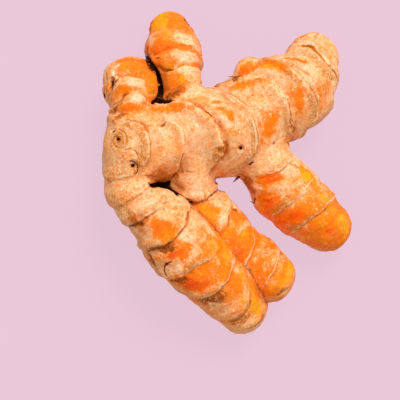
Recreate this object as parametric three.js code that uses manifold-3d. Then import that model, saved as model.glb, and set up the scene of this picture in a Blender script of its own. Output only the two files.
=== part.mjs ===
// A fresh turmeric rhizome (Curcuma longa), in millimetres, +Z up, lying on the plane z = 0.
//
// The rhizome grew as one piece: a thick trunk, the mother rhizome, with five fingers. Each limb
// is a chain of internodes round a bent axis, parted by the ring scars that its leaves left. Every
// ring lies in its own tilted plane, and the girth swells towards it and dips in it.
// The part is one solid. The origin is at the middle of its footprint, on the resting plane.

import * as THREE from 'three';
import { mergeVertices } from 'three/addons/utils/BufferGeometryUtils.js';
import Module from 'manifold-3d';

const wasm = await Module();
wasm.setup();

// ---------- driving dimensions ----------

// How deep a ring scar dips, and how far the girth swells just before one.
const RING_DIP = 0.4;
const NODE_SWELL = 0.45;

// Slow unevenness of the girth, as a share of the radius.
const LUMP = 0.022;

// Each limb: stations along its axis as [x, y, z, radius], how far its two round ends reach past
// the first and last station, and its rings as [distance along the axis, slope to the right,
// slope upwards, strength], where the slopes tilt the ring's plane against the axis and the
// strength scales its dip and swelling. Sides is the number of facets round it.
const LIMBS = {
  trunk: {
    stations: [
      [-33.0, 7.5, 20.5, 12.0],
      [-26.5, 9.0, 20.0, 12.2],
      [-13.5, 13.0, 17.5, 13.7],
      [2.0, 15.5, 15.3, 16.2],
      [13.0, 23.5, 15.0, 14.9],
      [22.5, 28.5, 14.0, 14.5],
      [29.0, 34.5, 12.4, 12.8],
      [31.5, 41.5, 11.5, 9.8],
    ],
    ends: [10.0, 9.2],
    rings: [
      [3.0, 0.0, 0.2, 1.4],
      [6.9, 0.15, 0.7, 1.3],
      [16.3, 0.45, 0.7, 2.0],
      [30.9, 0.0, 0.7, 1.5],
      [48.3, 0.25, 0.45, 1.8],
      [57.8, 0.15, 0.45, 1.9],
      [75.0, -0.25, 0.1, 2.4],
    ],
    sides: 28,
  },
  front_finger: {
    stations: [
      [-33.0, 3.5, 19.5, 9.0],
      [-34.0, -5.0, 21.5, 8.4],
      [-30.5, -11.5, 22.8, 8.6],
      [-23.0, -17.5, 22.5, 11.0],
      [-16.5, -25.0, 21.0, 12.1],
      [-8.0, -34.0, 17.8, 11.3],
      [0.5, -41.5, 13.2, 10.5],
      [6.0, -47.5, 8.4, 9.0],
    ],
    ends: [5.0, 8.4],
    rings: [
      [20.7, -0.3, 0.2, 0.8],
      [28.6, 0.05, 0.35, 2.0],
      [42.5, -0.15, 0.25, 2.0],
      [50.7, -0.05, 0.35, 2.1],
      [59.1, 0.35, 0.55, 1.8],
    ],
    sides: 26,
  },
  low_finger: {
    stations: [
      [-14.0, -0.5, 15.0, 8.0],
      [-11.5, -8.0, 14.0, 8.4],
      [-3.0, -18.0, 11.8, 9.9],
      [2.0, -25.5, 10.6, 10.1],
      [6.5, -29.0, 10.0, 9.9],
      [11.0, -32.0, 9.5, 9.9],
      [15.5, -36.0, 9.3, 9.6],
    ],
    ends: [5.0, 9.2],
    rings: [
      [7.4, -0.4, 0.25, 2.0],
      [20.0, 0.3, 0.3, 1.2],
      [35.7, 0.15, 0.2, 1.8],
      [45.3, 0.2, 0.25, 1.3],
    ],
    sides: 24,
  },
  right_finger: {
    stations: [
      [10.5, 9.0, 15.0, 8.5],
      [14.5, 2.5, 14.3, 9.9],
      [19.2, -3.0, 12.8, 10.9],
      [24.3, -9.1, 11.6, 11.3],
      [31.0, -14.5, 10.3, 10.7],
      [35.5, -18.0, 9.2, 9.3],
    ],
    ends: [5.0, 9.2],
    rings: [
      [5.6, -0.2, 0.4, 1.4],
      [14.0, -0.45, 0.3, 1.2],
      [23.5, -0.1, -0.1, 1.9],
      [31.9, -0.25, -0.05, 2.0],
    ],
    sides: 24,
  },
  tall_finger: {
    stations: [
      [-14.0, 21.5, 17.0, 7.8],
      [-15.5, 28.5, 17.5, 7.4],
      [-16.0, 34.0, 16.5, 7.6],
      [-18.0, 40.0, 13.3, 10.0],
      [-19.0, 46.0, 9.9, 10.1],
      [-19.5, 50.0, 8.7, 8.8],
      [-20.0, 54.0, 8.2, 7.1],
    ],
    ends: [5.0, 5.8],
    rings: [
      [12.8, 0.05, -0.05, 1.8],
      [19.0, 0.0, -0.1, 1.9],
    ],
    sides: 24,
  },
  short_finger: {
    stations: [
      [-33.0, 14.5, 20.0, 7.0],
      [-33.5, 21.0, 19.5, 7.4],
      [-33.5, 25.5, 18.0, 8.5],
      [-34.0, 30.5, 15.5, 9.8],
      [-34.2, 35.0, 13.0, 8.9],
    ],
    ends: [4.0, 5.4],
    rings: [
      [4.1, -0.15, -0.1, 1.8],
      [9.2, 0.25, -0.1, 2.1],
      [14.9, -0.15, -0.1, 2.0],
    ],
    sides: 24,
  },
};

// Buds and swellings: [x, y, z] of the middle, the three radii and the turn about Z in degrees.
const BUDS = {
  shoulder_bud: { at: [8.6, 35.4, 16.5], radii: [5.6, 6.0, 6.0], turn: 0 },
  end_bud: { at: [30.0, 26.0, 12.5], radii: [7.9, 7.9, 7.8], turn: 0 },
  side_bud: { at: [-18.5, 32.0, 18.5], radii: [5.4, 3.8, 5.0], turn: 25 },
  low_collar: { at: [-10.5, -3.5, 16.0], radii: [6.8, 7.0, 8.5], turn: 0 },
  belly: { at: [-0.5, 6.5, 14.5], radii: [11.0, 8.5, 11.5], turn: 10 },
  left_lobe: { at: [-24.5, 3.0, 18.0], radii: [8.0, 6.5, 8.5], turn: 10 },
  low_web: { at: [-20.5, -6.0, 8.0], radii: [8.5, 7.5, 6.0], turn: 0 },
  tip_bud: { at: [30.8, 42.6, 11.5], radii: [7.9, 7.9, 7.9], turn: 0 },
  crotch_web: { at: [-24.5, 26.0, 12.5], radii: [4.5, 6.0, 5.5], turn: 0 },
};

// Stubs of roots: foot [x, y, z], tip [x, y, z] and radius at the foot.
const ROOTS = {
  notch_root: { foot: [5.0, -1.5, 13.0], tip: [3.2, -4.8, 12.0], radius: 0.9 },
  neck_root: { foot: [8.5, 4.0, 17.5], tip: [8.0, 1.5, 18.5], radius: 0.7 },
};

// The frame's origin in the coordinates used above.
const FOOTPRINT_MIDDLE = [0.64, 1.76];

// ---------- helpers ----------

const UP = new THREE.Vector3(0, 0, 1);

// Turn a closed geometry into a solid: only positions, shared vertices, no flat triangles.
function solidOf(geometry) {
  const bare = geometry.clone();
  bare.deleteAttribute('normal');
  bare.deleteAttribute('uv');
  const merged = mergeVertices(bare, 1e-4);
  const index = merged.index.array;
  const triangles = [];
  for (let i = 0; i < index.length; i += 3) {
    const [a, b, c] = [index[i], index[i + 1], index[i + 2]];
    if (a !== b && b !== c && c !== a) triangles.push(a, b, c);
  }
  return new wasm.Manifold(new wasm.Mesh({
    numProp: 3,
    vertProperties: new Float32Array(merged.attributes.position.array),
    triVerts: new Uint32Array(triangles),
  }));
}

// A solid's triangles as a three.js geometry.
function geometryOf(solid) {
  const mesh = solid.getMesh();
  const geometry = new THREE.BufferGeometry();
  geometry.setAttribute('position', new THREE.BufferAttribute(mesh.vertProperties, 3));
  geometry.setIndex(new THREE.BufferAttribute(mesh.triVerts, 1));
  geometry.computeVertexNormals();
  return geometry;
}

// The axis of a limb by distance: centre, radius and the directions ahead, right and up.
function makeAxis({ stations }) {
  const centres = stations.map(([x, y, z]) => new THREE.Vector3(x, y, z));
  const girths = stations.map(([, , , radius]) => new THREE.Vector3(radius, 0, 0));
  const path = new THREE.CatmullRomCurve3(centres, false, 'catmullrom', 0.5);
  const girth = new THREE.CatmullRomCurve3(girths, false, 'catmullrom', 0.5);
  path.arcLengthDivisions = 400;
  const length = path.getLength();
  return {
    length,
    at(distance) {
      const t = path.getUtoTmapping(THREE.MathUtils.clamp(distance / length, 0, 1));
      const ahead = path.getTangent(t);
      const right = ahead.clone().cross(UP).normalize();
      const up = right.clone().cross(ahead);
      return { centre: path.getPoint(t), radius: girth.getPoint(t).x, ahead, right, up };
    },
  };
}

// The end of a limb as a mark, which takes part of the tilt of a ring that lies close to it.
function endMark(distance, [ringDistance, rightSlope, upSlope], girth) {
  const share = Math.max(0, 1 - Math.abs(distance - ringDistance) / girth);
  return [distance, rightSlope * share, upSlope * share, 1];
}

// The marks that part a limb's internodes: its rings between its two ends.
function marksOf({ rings, stations }, length) {
  const [firstGirth, lastGirth] = [stations[0][3], stations.at(-1)[3]];
  return [
    endMark(0, rings[0], firstGirth),
    ...rings,
    endMark(length, rings.at(-1), lastGirth),
  ];
}

// The tilt of the cross-sections at a distance, blended from the marks on either side.
function tiltAt(marks, distance) {
  for (let i = 1; i < marks.length; i += 1) {
    const [from, to] = [marks[i - 1], marks[i]];
    if (distance <= to[0]) {
      const share = THREE.MathUtils.clamp((distance - from[0]) / (to[0] - from[0]), 0, 1);
      return [
        THREE.MathUtils.lerp(from[1], to[1], share),
        THREE.MathUtils.lerp(from[2], to[2], share),
      ];
    }
  }
  return marks.at(-1).slice(1, 3);
}

// Where the cross-sections of an internode go, and the relief there from the strengths of the
// rings behind and ahead: out of one ring's dip, over a waist, up to the next ring's swelling.
const INTERNODE = [
  { share: 0.0, relief: (behind) => -RING_DIP * behind },
  { share: 0.12, relief: () => 0.1 },
  { share: 0.5, relief: (behind, ahead) => 0.2 * NODE_SWELL * ahead },
  { share: 0.86, relief: (behind, ahead) => NODE_SWELL * ahead },
];

// Profile of a limb before it is bent: [distance, relief, share of the radius] from end to end.
function profileOf(limb, length) {
  const [startReach, endReach] = limb.ends;
  const rows = [];
  const capAngles = [90, 68, 44, 21];
  for (const angle of capAngles) {
    const turn = THREE.MathUtils.degToRad(angle);
    rows.push([-startReach * Math.sin(turn), 0, angle === 90 ? 0 : Math.cos(turn)]);
  }
  const marks = marksOf(limb, length);
  for (let i = 1; i < marks.length; i += 1) {
    const [from, to] = [marks[i - 1], marks[i]];
    for (const { share, relief } of INTERNODE) {
      const isPlainEnd = i === 1 && share === 0;
      const height = isPlainEnd ? 0 : relief(from[3], to[3]);
      rows.push([THREE.MathUtils.lerp(from[0], to[0], share), height, 1]);
    }
  }
  rows.push([length, 0, 1]);
  for (const angle of [...capAngles].reverse()) {
    const turn = THREE.MathUtils.degToRad(angle);
    rows.push([length + endReach * Math.sin(turn), 0, angle === 90 ? 0 : Math.cos(turn)]);
  }
  return rows;
}

// Slow lumps of the girth, different on each limb.
function lumpAt(distance, angle, phase) {
  return LUMP * (
    Math.sin(2 * angle + distance / 6.5 + phase)
    + 0.7 * Math.sin(3 * angle - distance / 4.2 + 2.1 * phase)
  );
}

// One limb: a lathed spindle, bent along its axis and tilted ring by ring.
function limbSolid(limb, phase) {
  const axis = makeAxis(limb);
  const marks = marksOf(limb, axis.length);
  const rows = profileOf(limb, axis.length);
  const spindle = new THREE.LatheGeometry(
    rows.map(([, , share], row) => new THREE.Vector2(share, row)),
    limb.sides,
  );
  const position = spindle.attributes.position;
  const vertex = new THREE.Vector3();
  for (let i = 0; i < position.count; i += 1) {
    vertex.fromBufferAttribute(position, i);
    const [distance, relief, share] = rows[Math.round(vertex.y)];
    const angle = share === 0 ? 0 : Math.atan2(vertex.z, vertex.x);
    const [rightSlope, upSlope] = tiltAt(marks, distance);
    const slope = rightSlope * Math.cos(angle) + upSlope * Math.sin(angle);
    const tilted = distance + slope * share * axis.at(distance).radius;
    const { centre, radius, ahead, right, up } = axis.at(tilted);
    const lift = radius * share * (1 + lumpAt(tilted, angle, phase)) + relief * share;
    const past = tilted - THREE.MathUtils.clamp(tilted, 0, axis.length);
    vertex.copy(centre)
      .addScaledVector(ahead, past)
      .addScaledVector(right, lift * Math.cos(angle))
      .addScaledVector(up, lift * Math.sin(angle));
    position.setXYZ(i, vertex.x, vertex.y, vertex.z);
  }
  return solidOf(spindle);
}

// A bud: a rounded swelling sunk into the limb that it grows from.
function budSolid({ at, radii, turn }) {
  const ball = new THREE.SphereGeometry(1, 18, 12);
  ball.scale(...radii);
  ball.rotateZ(THREE.MathUtils.degToRad(turn));
  ball.translate(...at);
  return solidOf(ball);
}

// A root stub: a short cone that starts well inside the limb.
function rootSolid({ foot, tip, radius }) {
  const [from, to] = [new THREE.Vector3(...foot), new THREE.Vector3(...tip)];
  const along = to.clone().sub(from);
  const cone = new THREE.CylinderGeometry(0.35 * radius, radius, along.length(), 8);
  cone.translate(0, along.length() / 2, 0);
  cone.applyQuaternion(
    new THREE.Quaternion().setFromUnitVectors(new THREE.Vector3(0, 1, 0), along.normalize()),
  );
  cone.translate(...foot);
  return solidOf(cone);
}

// ---------- the rhizome ----------

function rhizomeSolid() {
  let whole = null;
  const join = (solid) => {
    whole = whole === null ? solid : whole.add(solid);
  };
  Object.values(LIMBS).forEach((limb, number) => join(limbSolid(limb, 1.7 * number)));
  Object.values(BUDS).forEach((bud) => join(budSolid(bud)));
  Object.values(ROOTS).forEach((root) => join(rootSolid(root)));
  return whole;
}

// Small flat spots where the belly and the finger tips press on the surface.
function restOnPlane(solid) {
  const depth = 10;
  const below = new THREE.BoxGeometry(300, 300, depth);
  below.translate(0, 0, -depth / 2);
  return solid.subtract(solidOf(below));
}

const skin = new THREE.MeshStandardMaterial({
  name: 'turmeric_skin',
  color: 0xe99a55,
  roughness: 0.55,
  metalness: 0,
});

const rhizome = new THREE.Mesh(geometryOf(restOnPlane(rhizomeSolid())), skin);
rhizome.name = 'turmeric_root';
rhizome.position.set(-FOOTPRINT_MIDDLE[0], -FOOTPRINT_MIDDLE[1], 0);

const part = new THREE.Group();
part.name = 'turmeric_root_part';
part.add(rhizome);

export default part;
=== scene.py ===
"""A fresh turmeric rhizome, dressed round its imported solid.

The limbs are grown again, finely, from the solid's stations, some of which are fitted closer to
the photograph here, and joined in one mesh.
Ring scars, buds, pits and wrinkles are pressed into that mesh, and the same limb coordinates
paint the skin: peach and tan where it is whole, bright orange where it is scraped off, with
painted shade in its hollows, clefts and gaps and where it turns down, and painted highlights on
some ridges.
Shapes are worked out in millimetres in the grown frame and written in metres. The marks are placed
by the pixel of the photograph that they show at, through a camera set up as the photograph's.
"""

import itertools
import math

import bpy
import numpy as np
from mathutils import Matrix, Vector


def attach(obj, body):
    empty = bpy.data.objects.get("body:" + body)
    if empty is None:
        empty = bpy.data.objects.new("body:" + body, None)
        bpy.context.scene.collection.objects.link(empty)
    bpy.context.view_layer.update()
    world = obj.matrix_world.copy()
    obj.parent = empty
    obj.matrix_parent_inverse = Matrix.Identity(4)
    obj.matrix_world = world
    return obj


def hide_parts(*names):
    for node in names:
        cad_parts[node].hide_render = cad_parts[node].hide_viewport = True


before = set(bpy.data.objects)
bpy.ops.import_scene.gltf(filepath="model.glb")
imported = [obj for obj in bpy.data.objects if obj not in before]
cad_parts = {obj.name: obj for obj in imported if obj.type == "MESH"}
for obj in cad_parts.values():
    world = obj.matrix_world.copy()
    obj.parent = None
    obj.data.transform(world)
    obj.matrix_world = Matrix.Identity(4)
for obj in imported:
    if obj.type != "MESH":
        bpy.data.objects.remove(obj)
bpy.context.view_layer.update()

# A millimetre in metres.
MM = 0.001

# ---------- the rhizome's own dimensions, in millimetres ----------

# The frame's origin in the coordinates of the stations.
FOOTPRINT_MIDDLE = np.array([0.64, 1.76, 0.0])

# How deep a ring scar dips, how far the girth swells before one, and the slow unevenness of the
# girth as a share of the radius.
RING_DIP = 0.4
NODE_SWELL = 0.45
LUMP = 0.022

# Each limb: stations along its axis (x, y, z, radius), how far its round ends reach past the
# first and last station, and its rings: distance along the axis, slope to the right, slope
# upwards, how far it bows round the limb, how strongly it is pressed in, and its kind of scar.
LIMBS = {
    "trunk": dict(
        stations=[
            (-33.0, 7.5, 20.5, 12.0),
            (-26.5, 9.0, 20.0, 12.2),
            (-13.5, 13.0, 17.5, 13.7),
            (2.0, 15.5, 15.3, 16.2),
            (13.0, 23.5, 15.0, 14.9),
            (22.5, 28.5, 14.0, 14.5),
            (28.7, 34.7, 12.4, 12.4),
            (31.2, 41.5, 11.5, 9.5),
        ],
        ends=(10.0, 9.2),
        rings=[
            (-2.0, 0.0, 0.45, -2.5, 1.4, "olive"),
            (6.9, 0.15, 0.7, -0.4, 1.3, "pale"),
            (16.3, 0.45, 0.7, -1.4, 2.5, "orange"),
            (30.9, 0.0, 0.7, -1.5, 1.5, "tan"),
            (48.3, 0.25, 0.45, -0.6, 1.8, "spotted"),
            (57.8, 0.15, 0.45, -0.4, 1.9, "olive"),
            (75.6, -0.4, 0.1, -0.2, 0.5, "brown"),
        ],
    ),
    "front_finger": dict(
        stations=[
            (-33.0, 3.5, 19.5, 9.0),
            (-34.0, -5.0, 21.5, 8.4),
            (-30.5, -11.5, 22.8, 8.6),
            (-23.0, -17.5, 22.5, 11.0),
            (-16.5, -25.0, 21.0, 12.1),
            (-8.0, -34.0, 17.8, 11.3),
            (0.5, -41.5, 13.2, 10.5),
            (6.0, -47.5, 8.4, 9.0),
        ],
        ends=(5.0, 8.4),
        rings=[
            (6.5, 0.0, 0.3, 0.0, 1.0, "tan"),
            (13.2, -0.1, 0.3, 0.2, 1.1, "spotted"),
            (20.7, -0.3, 0.2, 0.0, 0.8, "faint"),
            (28.6, 0.05, 0.35, -0.4, 1.5, "brown"),
            (42.5, -0.15, 0.25, 0.3, 0.9, "faint"),
            (50.7, -0.05, 0.35, -0.1, 1.4, "tan"),
            (59.1, 0.35, 0.55, -0.3, 1.3, "spotted"),
        ],
    ),
    "low_finger": dict(
        stations=[
            (-14.0, -0.5, 15.0, 8.0),
            (-11.5, -8.0, 14.0, 8.4),
            (-3.0, -18.0, 11.8, 9.9),
            (2.0, -25.5, 10.6, 10.1),
            (6.5, -29.0, 10.0, 9.9),
            (11.0, -32.0, 9.5, 9.9),
            (15.5, -36.0, 9.3, 9.6),
        ],
        ends=(5.0, 9.2),
        rings=[
            (7.4, -0.4, 0.25, -0.3, 2.0, "brown"),
            (20.0, 0.3, 0.3, -0.5, 1.2, "faint"),
            (35.7, 0.15, 0.2, -0.1, 1.2, "tan"),
            (45.3, 0.2, 0.25, -0.1, 0.8, "pale"),
        ],
    ),
    "right_finger": dict(
        stations=[
            (10.5, 9.0, 15.0, 8.5),
            (14.5, 2.5, 14.3, 9.9),
            (19.2, -3.0, 12.8, 10.9),
            (24.3, -9.1, 11.6, 11.3),
            (31.0, -14.5, 10.3, 10.7),
            (35.5, -18.0, 9.2, 9.3),
        ],
        ends=(5.0, 9.2),
        rings=[
            (5.6, -0.2, 0.4, -0.2, 0.6, "faint"),
            (14.0, -0.45, 0.3, -0.8, 0.4, "faint"),
            (23.5, -0.1, -0.1, 0.0, 0.5, "tan"),
            (31.9, -0.25, -0.05, 0.0, 0.6, "tan"),
        ],
    ),
    "tall_finger": dict(
        stations=[
            (-14.0, 21.5, 17.0, 7.8),
            (-15.8, 28.5, 17.5, 7.0),
            (-16.4, 34.0, 16.5, 7.3),
            (-18.1, 40.0, 13.3, 10.1),
            (-19.1, 46.0, 9.9, 10.3),
            (-19.6, 49.9, 8.7, 9.1),
            (-20.4, 53.7, 8.2, 7.1),
        ],
        ends=(5.0, 5.8),
        rings=[
            (12.8, 0.05, -0.05, -0.1, 1.0, "red"),
            (19.0, 0.0, -0.1, 0.2, 1.2, "red"),
        ],
    ),
    "short_finger": dict(
        stations=[
            (-33.0, 14.5, 20.0, 7.0),
            (-33.5, 21.0, 19.5, 7.4),
            (-33.5, 25.5, 18.0, 8.5),
            (-34.0, 30.5, 15.5, 9.8),
            (-34.2, 35.0, 13.0, 8.9),
        ],
        ends=(4.0, 5.4),
        rings=[
            (4.1, -0.15, -0.1, -0.3, 1.8, "brown"),
            (9.2, 0.25, -0.1, 0.0, 1.3, "brown"),
            (14.9, -0.15, -0.1, 0.1, 1.2, "red"),
        ],
    ),
}

# How softly each limb flows into the trunk, and each bud into what it grows from.
FILLETS = {
    "front_finger": 4.0,
    "low_finger": 1.8,
    "right_finger": 4.2,
    "tall_finger": 4.5,
    "short_finger": 3.0,
}

# Buds and swellings: middle, three radii, turn about Z in degrees, and fillet.
BUDS = {
    "shoulder_bud": ((8.6, 35.4, 16.5), (5.6, 6.0, 6.0), 0, 1.5),
    "end_bud": ((30.1, 26.5, 12.5), (7.8, 7.8, 7.8), 0, 3.0),
    "neck_swell": ((19.3, 37.9, 13.0), (6.5, 4.6, 6.0), 0, 3.0),
    "side_bud": ((-18.5, 32.0, 18.5), (5.4, 3.8, 5.0), 25, 1.2),
    "root_swell": ((-10.5, 0.5, 15.5), (5.6, 8.5, 10.0), 0, 4.0),
    "low_collar": ((-11.0, -3.7, 16.0), (6.5, 6.8, 8.3), 0, 2.0),
    "belly": ((-0.5, 7.3, 14.5), (11.0, 8.2, 11.5), 10, 3.0),
    "left_lobe": ((-25.0, 2.0, 17.0), (8.0, 7.6, 9.3), 0, 2.5),
    "low_web": ((-20.5, -6.0, 8.0), (8.5, 7.5, 6.0), 0, 3.0),
    "tip_bud": ((32.0, 43.2, 11.5), (7.2, 7.8, 7.8), 0, 1.5),
    "hook_lobe": ((-26.6, 28.6, 16.5), (4.4, 7.4, 6.5), -4, 1.5),
    "fray_lobe": ((-37.8, 34.3, 14.0), (5.5, 5.6, 6.5), 0, 2.0),
    "heel_bud": ((15.6, -8.6, 11.0), (6.0, 6.2, 6.8), 0, 2.0),
    "crotch_web": ((-24.5, 26.0, 12.5), (4.5, 6.0, 5.5), 0, 2.0),
}

# The size of the mesh's faces, and how often and how far its vertices are moved to the skin.
VOXEL = 0.45
SETTLE_PASSES = 3
SETTLE_STEP = 1.5

# The share of the faces kept once those of the underside are joined, and how far down the skin
# faces where that starts and where it is in full.
FACES_KEPT = 0.65
UNDERSIDE = (0.05, 0.35)

# How wide the skin's fibres are for their length.
FIBRE_WIDTH = 0.2

# ---------- the photograph's camera ----------

# The photograph's side in pixels, its scale, and where the camera stands, in millimetres.
PHOTO_SIDE = 400
MM_PER_PIXEL = 0.35
CAMERA_ELEVATION = math.radians(84.0)
CAMERA_DISTANCE = 450.0
# The pixel over the origin of the grown frame, at the height where the scale above holds.
ORIGIN_PIXEL = (226.0, 172.0)
SCALE_HEIGHT = 18.0

LOOK_BACK = np.array([0.0, -math.cos(CAMERA_ELEVATION), math.sin(CAMERA_ELEVATION)])
LOOK_UP = np.array([0.0, math.sin(CAMERA_ELEVATION), math.cos(CAMERA_ELEVATION)])
LOOK_RIGHT = np.array([1.0, 0.0, 0.0])
TARGET = np.array([
    (PHOTO_SIDE / 2 - ORIGIN_PIXEL[0]) * MM_PER_PIXEL,
    (ORIGIN_PIXEL[1] - PHOTO_SIDE / 2) * MM_PER_PIXEL / math.sin(CAMERA_ELEVATION),
    SCALE_HEIGHT,
])
CAMERA_PLACE = TARGET + LOOK_BACK * CAMERA_DISTANCE


def photo_pixels(points):
    """The photograph's pixel under each point of the grown frame."""
    offset = points - CAMERA_PLACE
    scale = CAMERA_DISTANCE / MM_PER_PIXEL / -(offset @ LOOK_BACK)
    across = PHOTO_SIDE / 2 + (offset @ LOOK_RIGHT) * scale
    down = PHOTO_SIDE / 2 - (offset @ LOOK_UP) * scale
    return np.stack([across, down], axis=1)


def picture_way(turn):
    """The way that lies at an angle in the picture, in degrees anticlockwise from the right."""
    angle = math.radians(turn)
    return LOOK_RIGHT * math.cos(angle) + LOOK_UP * math.sin(angle)


# ---------- noise and curves ----------

# The noise: its seed, the number of its slopes, and how far apart its seeds' patterns lie.
NOISE_SEED = 11
SLOPES = 256
SEED_STEP = 19.7
_random = np.random.default_rng(NOISE_SEED)
_slopes = _random.normal(size=(SLOPES, 3))
_slopes /= np.linalg.norm(_slopes, axis=1)[:, None]
_shuffle = _random.permutation(SLOPES)


def noise(points, size, seed=0):
    """Smooth noise from about -1 to 1, with lumps about size millimetres across."""
    scaled = points / size + SEED_STEP * seed
    cell = np.floor(scaled).astype(int)
    share = scaled - cell
    fade = share**3 * (share * (share * 6 - 15) + 10)
    total = np.zeros(len(points))
    for corner in itertools.product((0, 1), repeat=3):
        key = _shuffle[(cell[:, 0] + corner[0]) % SLOPES]
        key = _shuffle[(key + cell[:, 1] + corner[1]) % SLOPES]
        key = _shuffle[(key + cell[:, 2] + corner[2]) % SLOPES]
        slope = ((share - corner) * _slopes[key]).sum(axis=1)
        total += slope * np.prod(np.where(corner, fade, 1 - fade), axis=1)
    return 1.6 * total


def smooth_step(low, high, value):
    """0 below low, 1 above high, and an even curve between."""
    share = np.clip((value - low) / (high - low), 0, 1)
    return share * share * (3 - 2 * share)


def bell(value, half_width):
    """1 at a value of 0, and falling off on both sides."""
    return np.exp(-((value / half_width) ** 2))


def unit_rows(vectors):
    """Each row at a length of one."""
    return vectors / (np.linalg.norm(vectors, axis=1)[:, None] + 1e-9)


def catmull_rom(rows, t):
    """A uniform Catmull-Rom curve through the rows, with its ends carried straight on."""
    rows = np.asarray(rows, float)
    padded = np.vstack([2 * rows[0] - rows[1], rows, 2 * rows[-1] - rows[-2]])
    place = np.clip(t * (len(rows) - 1), 0, len(rows) - 1 - 1e-9)
    index = np.floor(place).astype(int)
    share = (place - index)[:, None]
    before, start, end, after = (padded[index + i] for i in range(4))
    slope_start = (end - before) / 2
    slope_end = (after - start) / 2
    return (
        (2 * start - 2 * end + slope_start + slope_end) * share**3
        + (-3 * start + 3 * end - 2 * slope_start - slope_end) * share**2
        + slope_start * share
        + start
    )


# ---------- limbs ----------

# Steps that each limb's axis is cut into, and how many points are placed on it at a time.
AXIS_STEPS = 320
POINTS_AT_A_TIME = 20000


class Limb:
    """A bent limb and the coordinates that points near it have on it."""

    def __init__(self, number, stations, ends, rings):
        """Run a smooth axis through the stations, with the ways ahead, right and up along it."""
        self.ends = ends
        self.rings = rings
        self.phase = 1.7 * number
        curve = catmull_rom(stations, np.linspace(0, 1, AXIS_STEPS + 1))
        self.centre, self.radius = curve[:, :3], curve[:, 3]
        steps = np.linalg.norm(np.diff(self.centre, axis=0), axis=1)
        self.distance = np.concatenate([[0], np.cumsum(steps)])
        self.length = self.distance[-1]
        ahead = np.gradient(self.centre, axis=0)
        self.ahead = ahead / np.linalg.norm(ahead, axis=1)[:, None]
        right = np.cross(self.ahead, (0, 0, 1))
        self.right = right / np.linalg.norm(right, axis=1)[:, None]
        self.up = np.cross(self.right, self.ahead)

    def locate(self, points):
        """Coordinates on this limb: distance, how far past an end, angle, reach and radius."""
        nearest = np.empty(len(points), int)
        centre_square = (self.centre**2).sum(axis=1)
        for start in range(0, len(points), POINTS_AT_A_TIME):
            part = slice(start, start + POINTS_AT_A_TIME)
            nearest[part] = (centre_square - 2 * points[part] @ self.centre.T).argmin(axis=1)
        offset = points - self.centre[nearest]
        ahead, right, up = self.ahead[nearest], self.right[nearest], self.up[nearest]
        along = (offset * ahead).sum(axis=1)
        step = self.length / AXIS_STEPS
        past = np.where(nearest == 0, np.minimum(along, 0), 0)
        past = np.where(nearest == AXIS_STEPS, np.maximum(along, 0), past)
        distance = self.distance[nearest] + np.where(past == 0, np.clip(along, -step, step), past)
        across, upward = (offset * right).sum(axis=1), (offset * up).sum(axis=1)
        reach = np.hypot(across, upward)
        outward = (right * across[:, None] + up * upward[:, None]) / (reach[:, None] + 1e-6)
        radius = np.interp(distance, self.distance, self.radius)
        return dict(
            distance=distance,
            past=past,
            angle=np.arctan2(upward, across),
            reach=reach,
            radius=radius,
            outward=outward,
            ahead=ahead,
        )

    def ring_gaps(self, place, wobble):
        """How far each point lies past each ring, one column a ring."""
        gaps = []
        for distance, right_slope, up_slope, bow, _, _ in self.rings:
            tilt = right_slope * np.cos(place["angle"]) + up_slope * np.sin(place["angle"])
            shift = place["reach"] * tilt + bow * np.cos(2 * place["angle"])
            gaps.append(place["distance"] - distance - shift + wobble)
        return np.stack(gaps, axis=1)

    def internode(self, gaps):
        """Distance along the limb, bent so that each ring lies at one value of it."""
        marks = np.array([ring[0] for ring in self.rings])
        along = marks[0] + gaps[:, 0]
        for column in range(len(marks) - 1):
            past, ahead = gaps[:, column], gaps[:, column + 1]
            share = np.clip(past / np.maximum(past - ahead, 0.1), 0, 1)
            between = marks[column] + share * (marks[column + 1] - marks[column])
            along = np.where(past > 0, between, along)
        return np.where(gaps[:, -1] > 0, marks[-1] + gaps[:, -1], along)

    def lump(self, place):
        """Slow lumps of the girth, the same as the solid's."""
        distance, angle = place["distance"], place["angle"]
        slow = np.sin(2 * angle + distance / 6.5 + self.phase)
        quick = np.sin(3 * angle - distance / 4.2 + 2.1 * self.phase)
        return LUMP * (slow + 0.7 * quick)


def ring_relief(gap, strength):
    """Height of the skin round a ring: a swollen sheath edge, a thin lip, a sharp dip."""
    swell = NODE_SWELL * bell(gap + 1.7, 1.6)
    lip = 0.08 * bell(gap + 0.3, 0.5)
    dip = -RING_DIP * bell(gap - 0.7, np.where(gap < 0.7, 0.5, 1.5))
    return strength * (swell + lip + dip)


def flow_coordinates(place):
    """Coordinates in which the skin's fibres run level with the rings."""
    across = FIBRE_WIDTH * place["reach"] * np.cos(place["angle"])
    upward = FIBRE_WIDTH * place["reach"] * np.sin(place["angle"])
    return np.stack([place["internode"], across, upward], axis=1)


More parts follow.
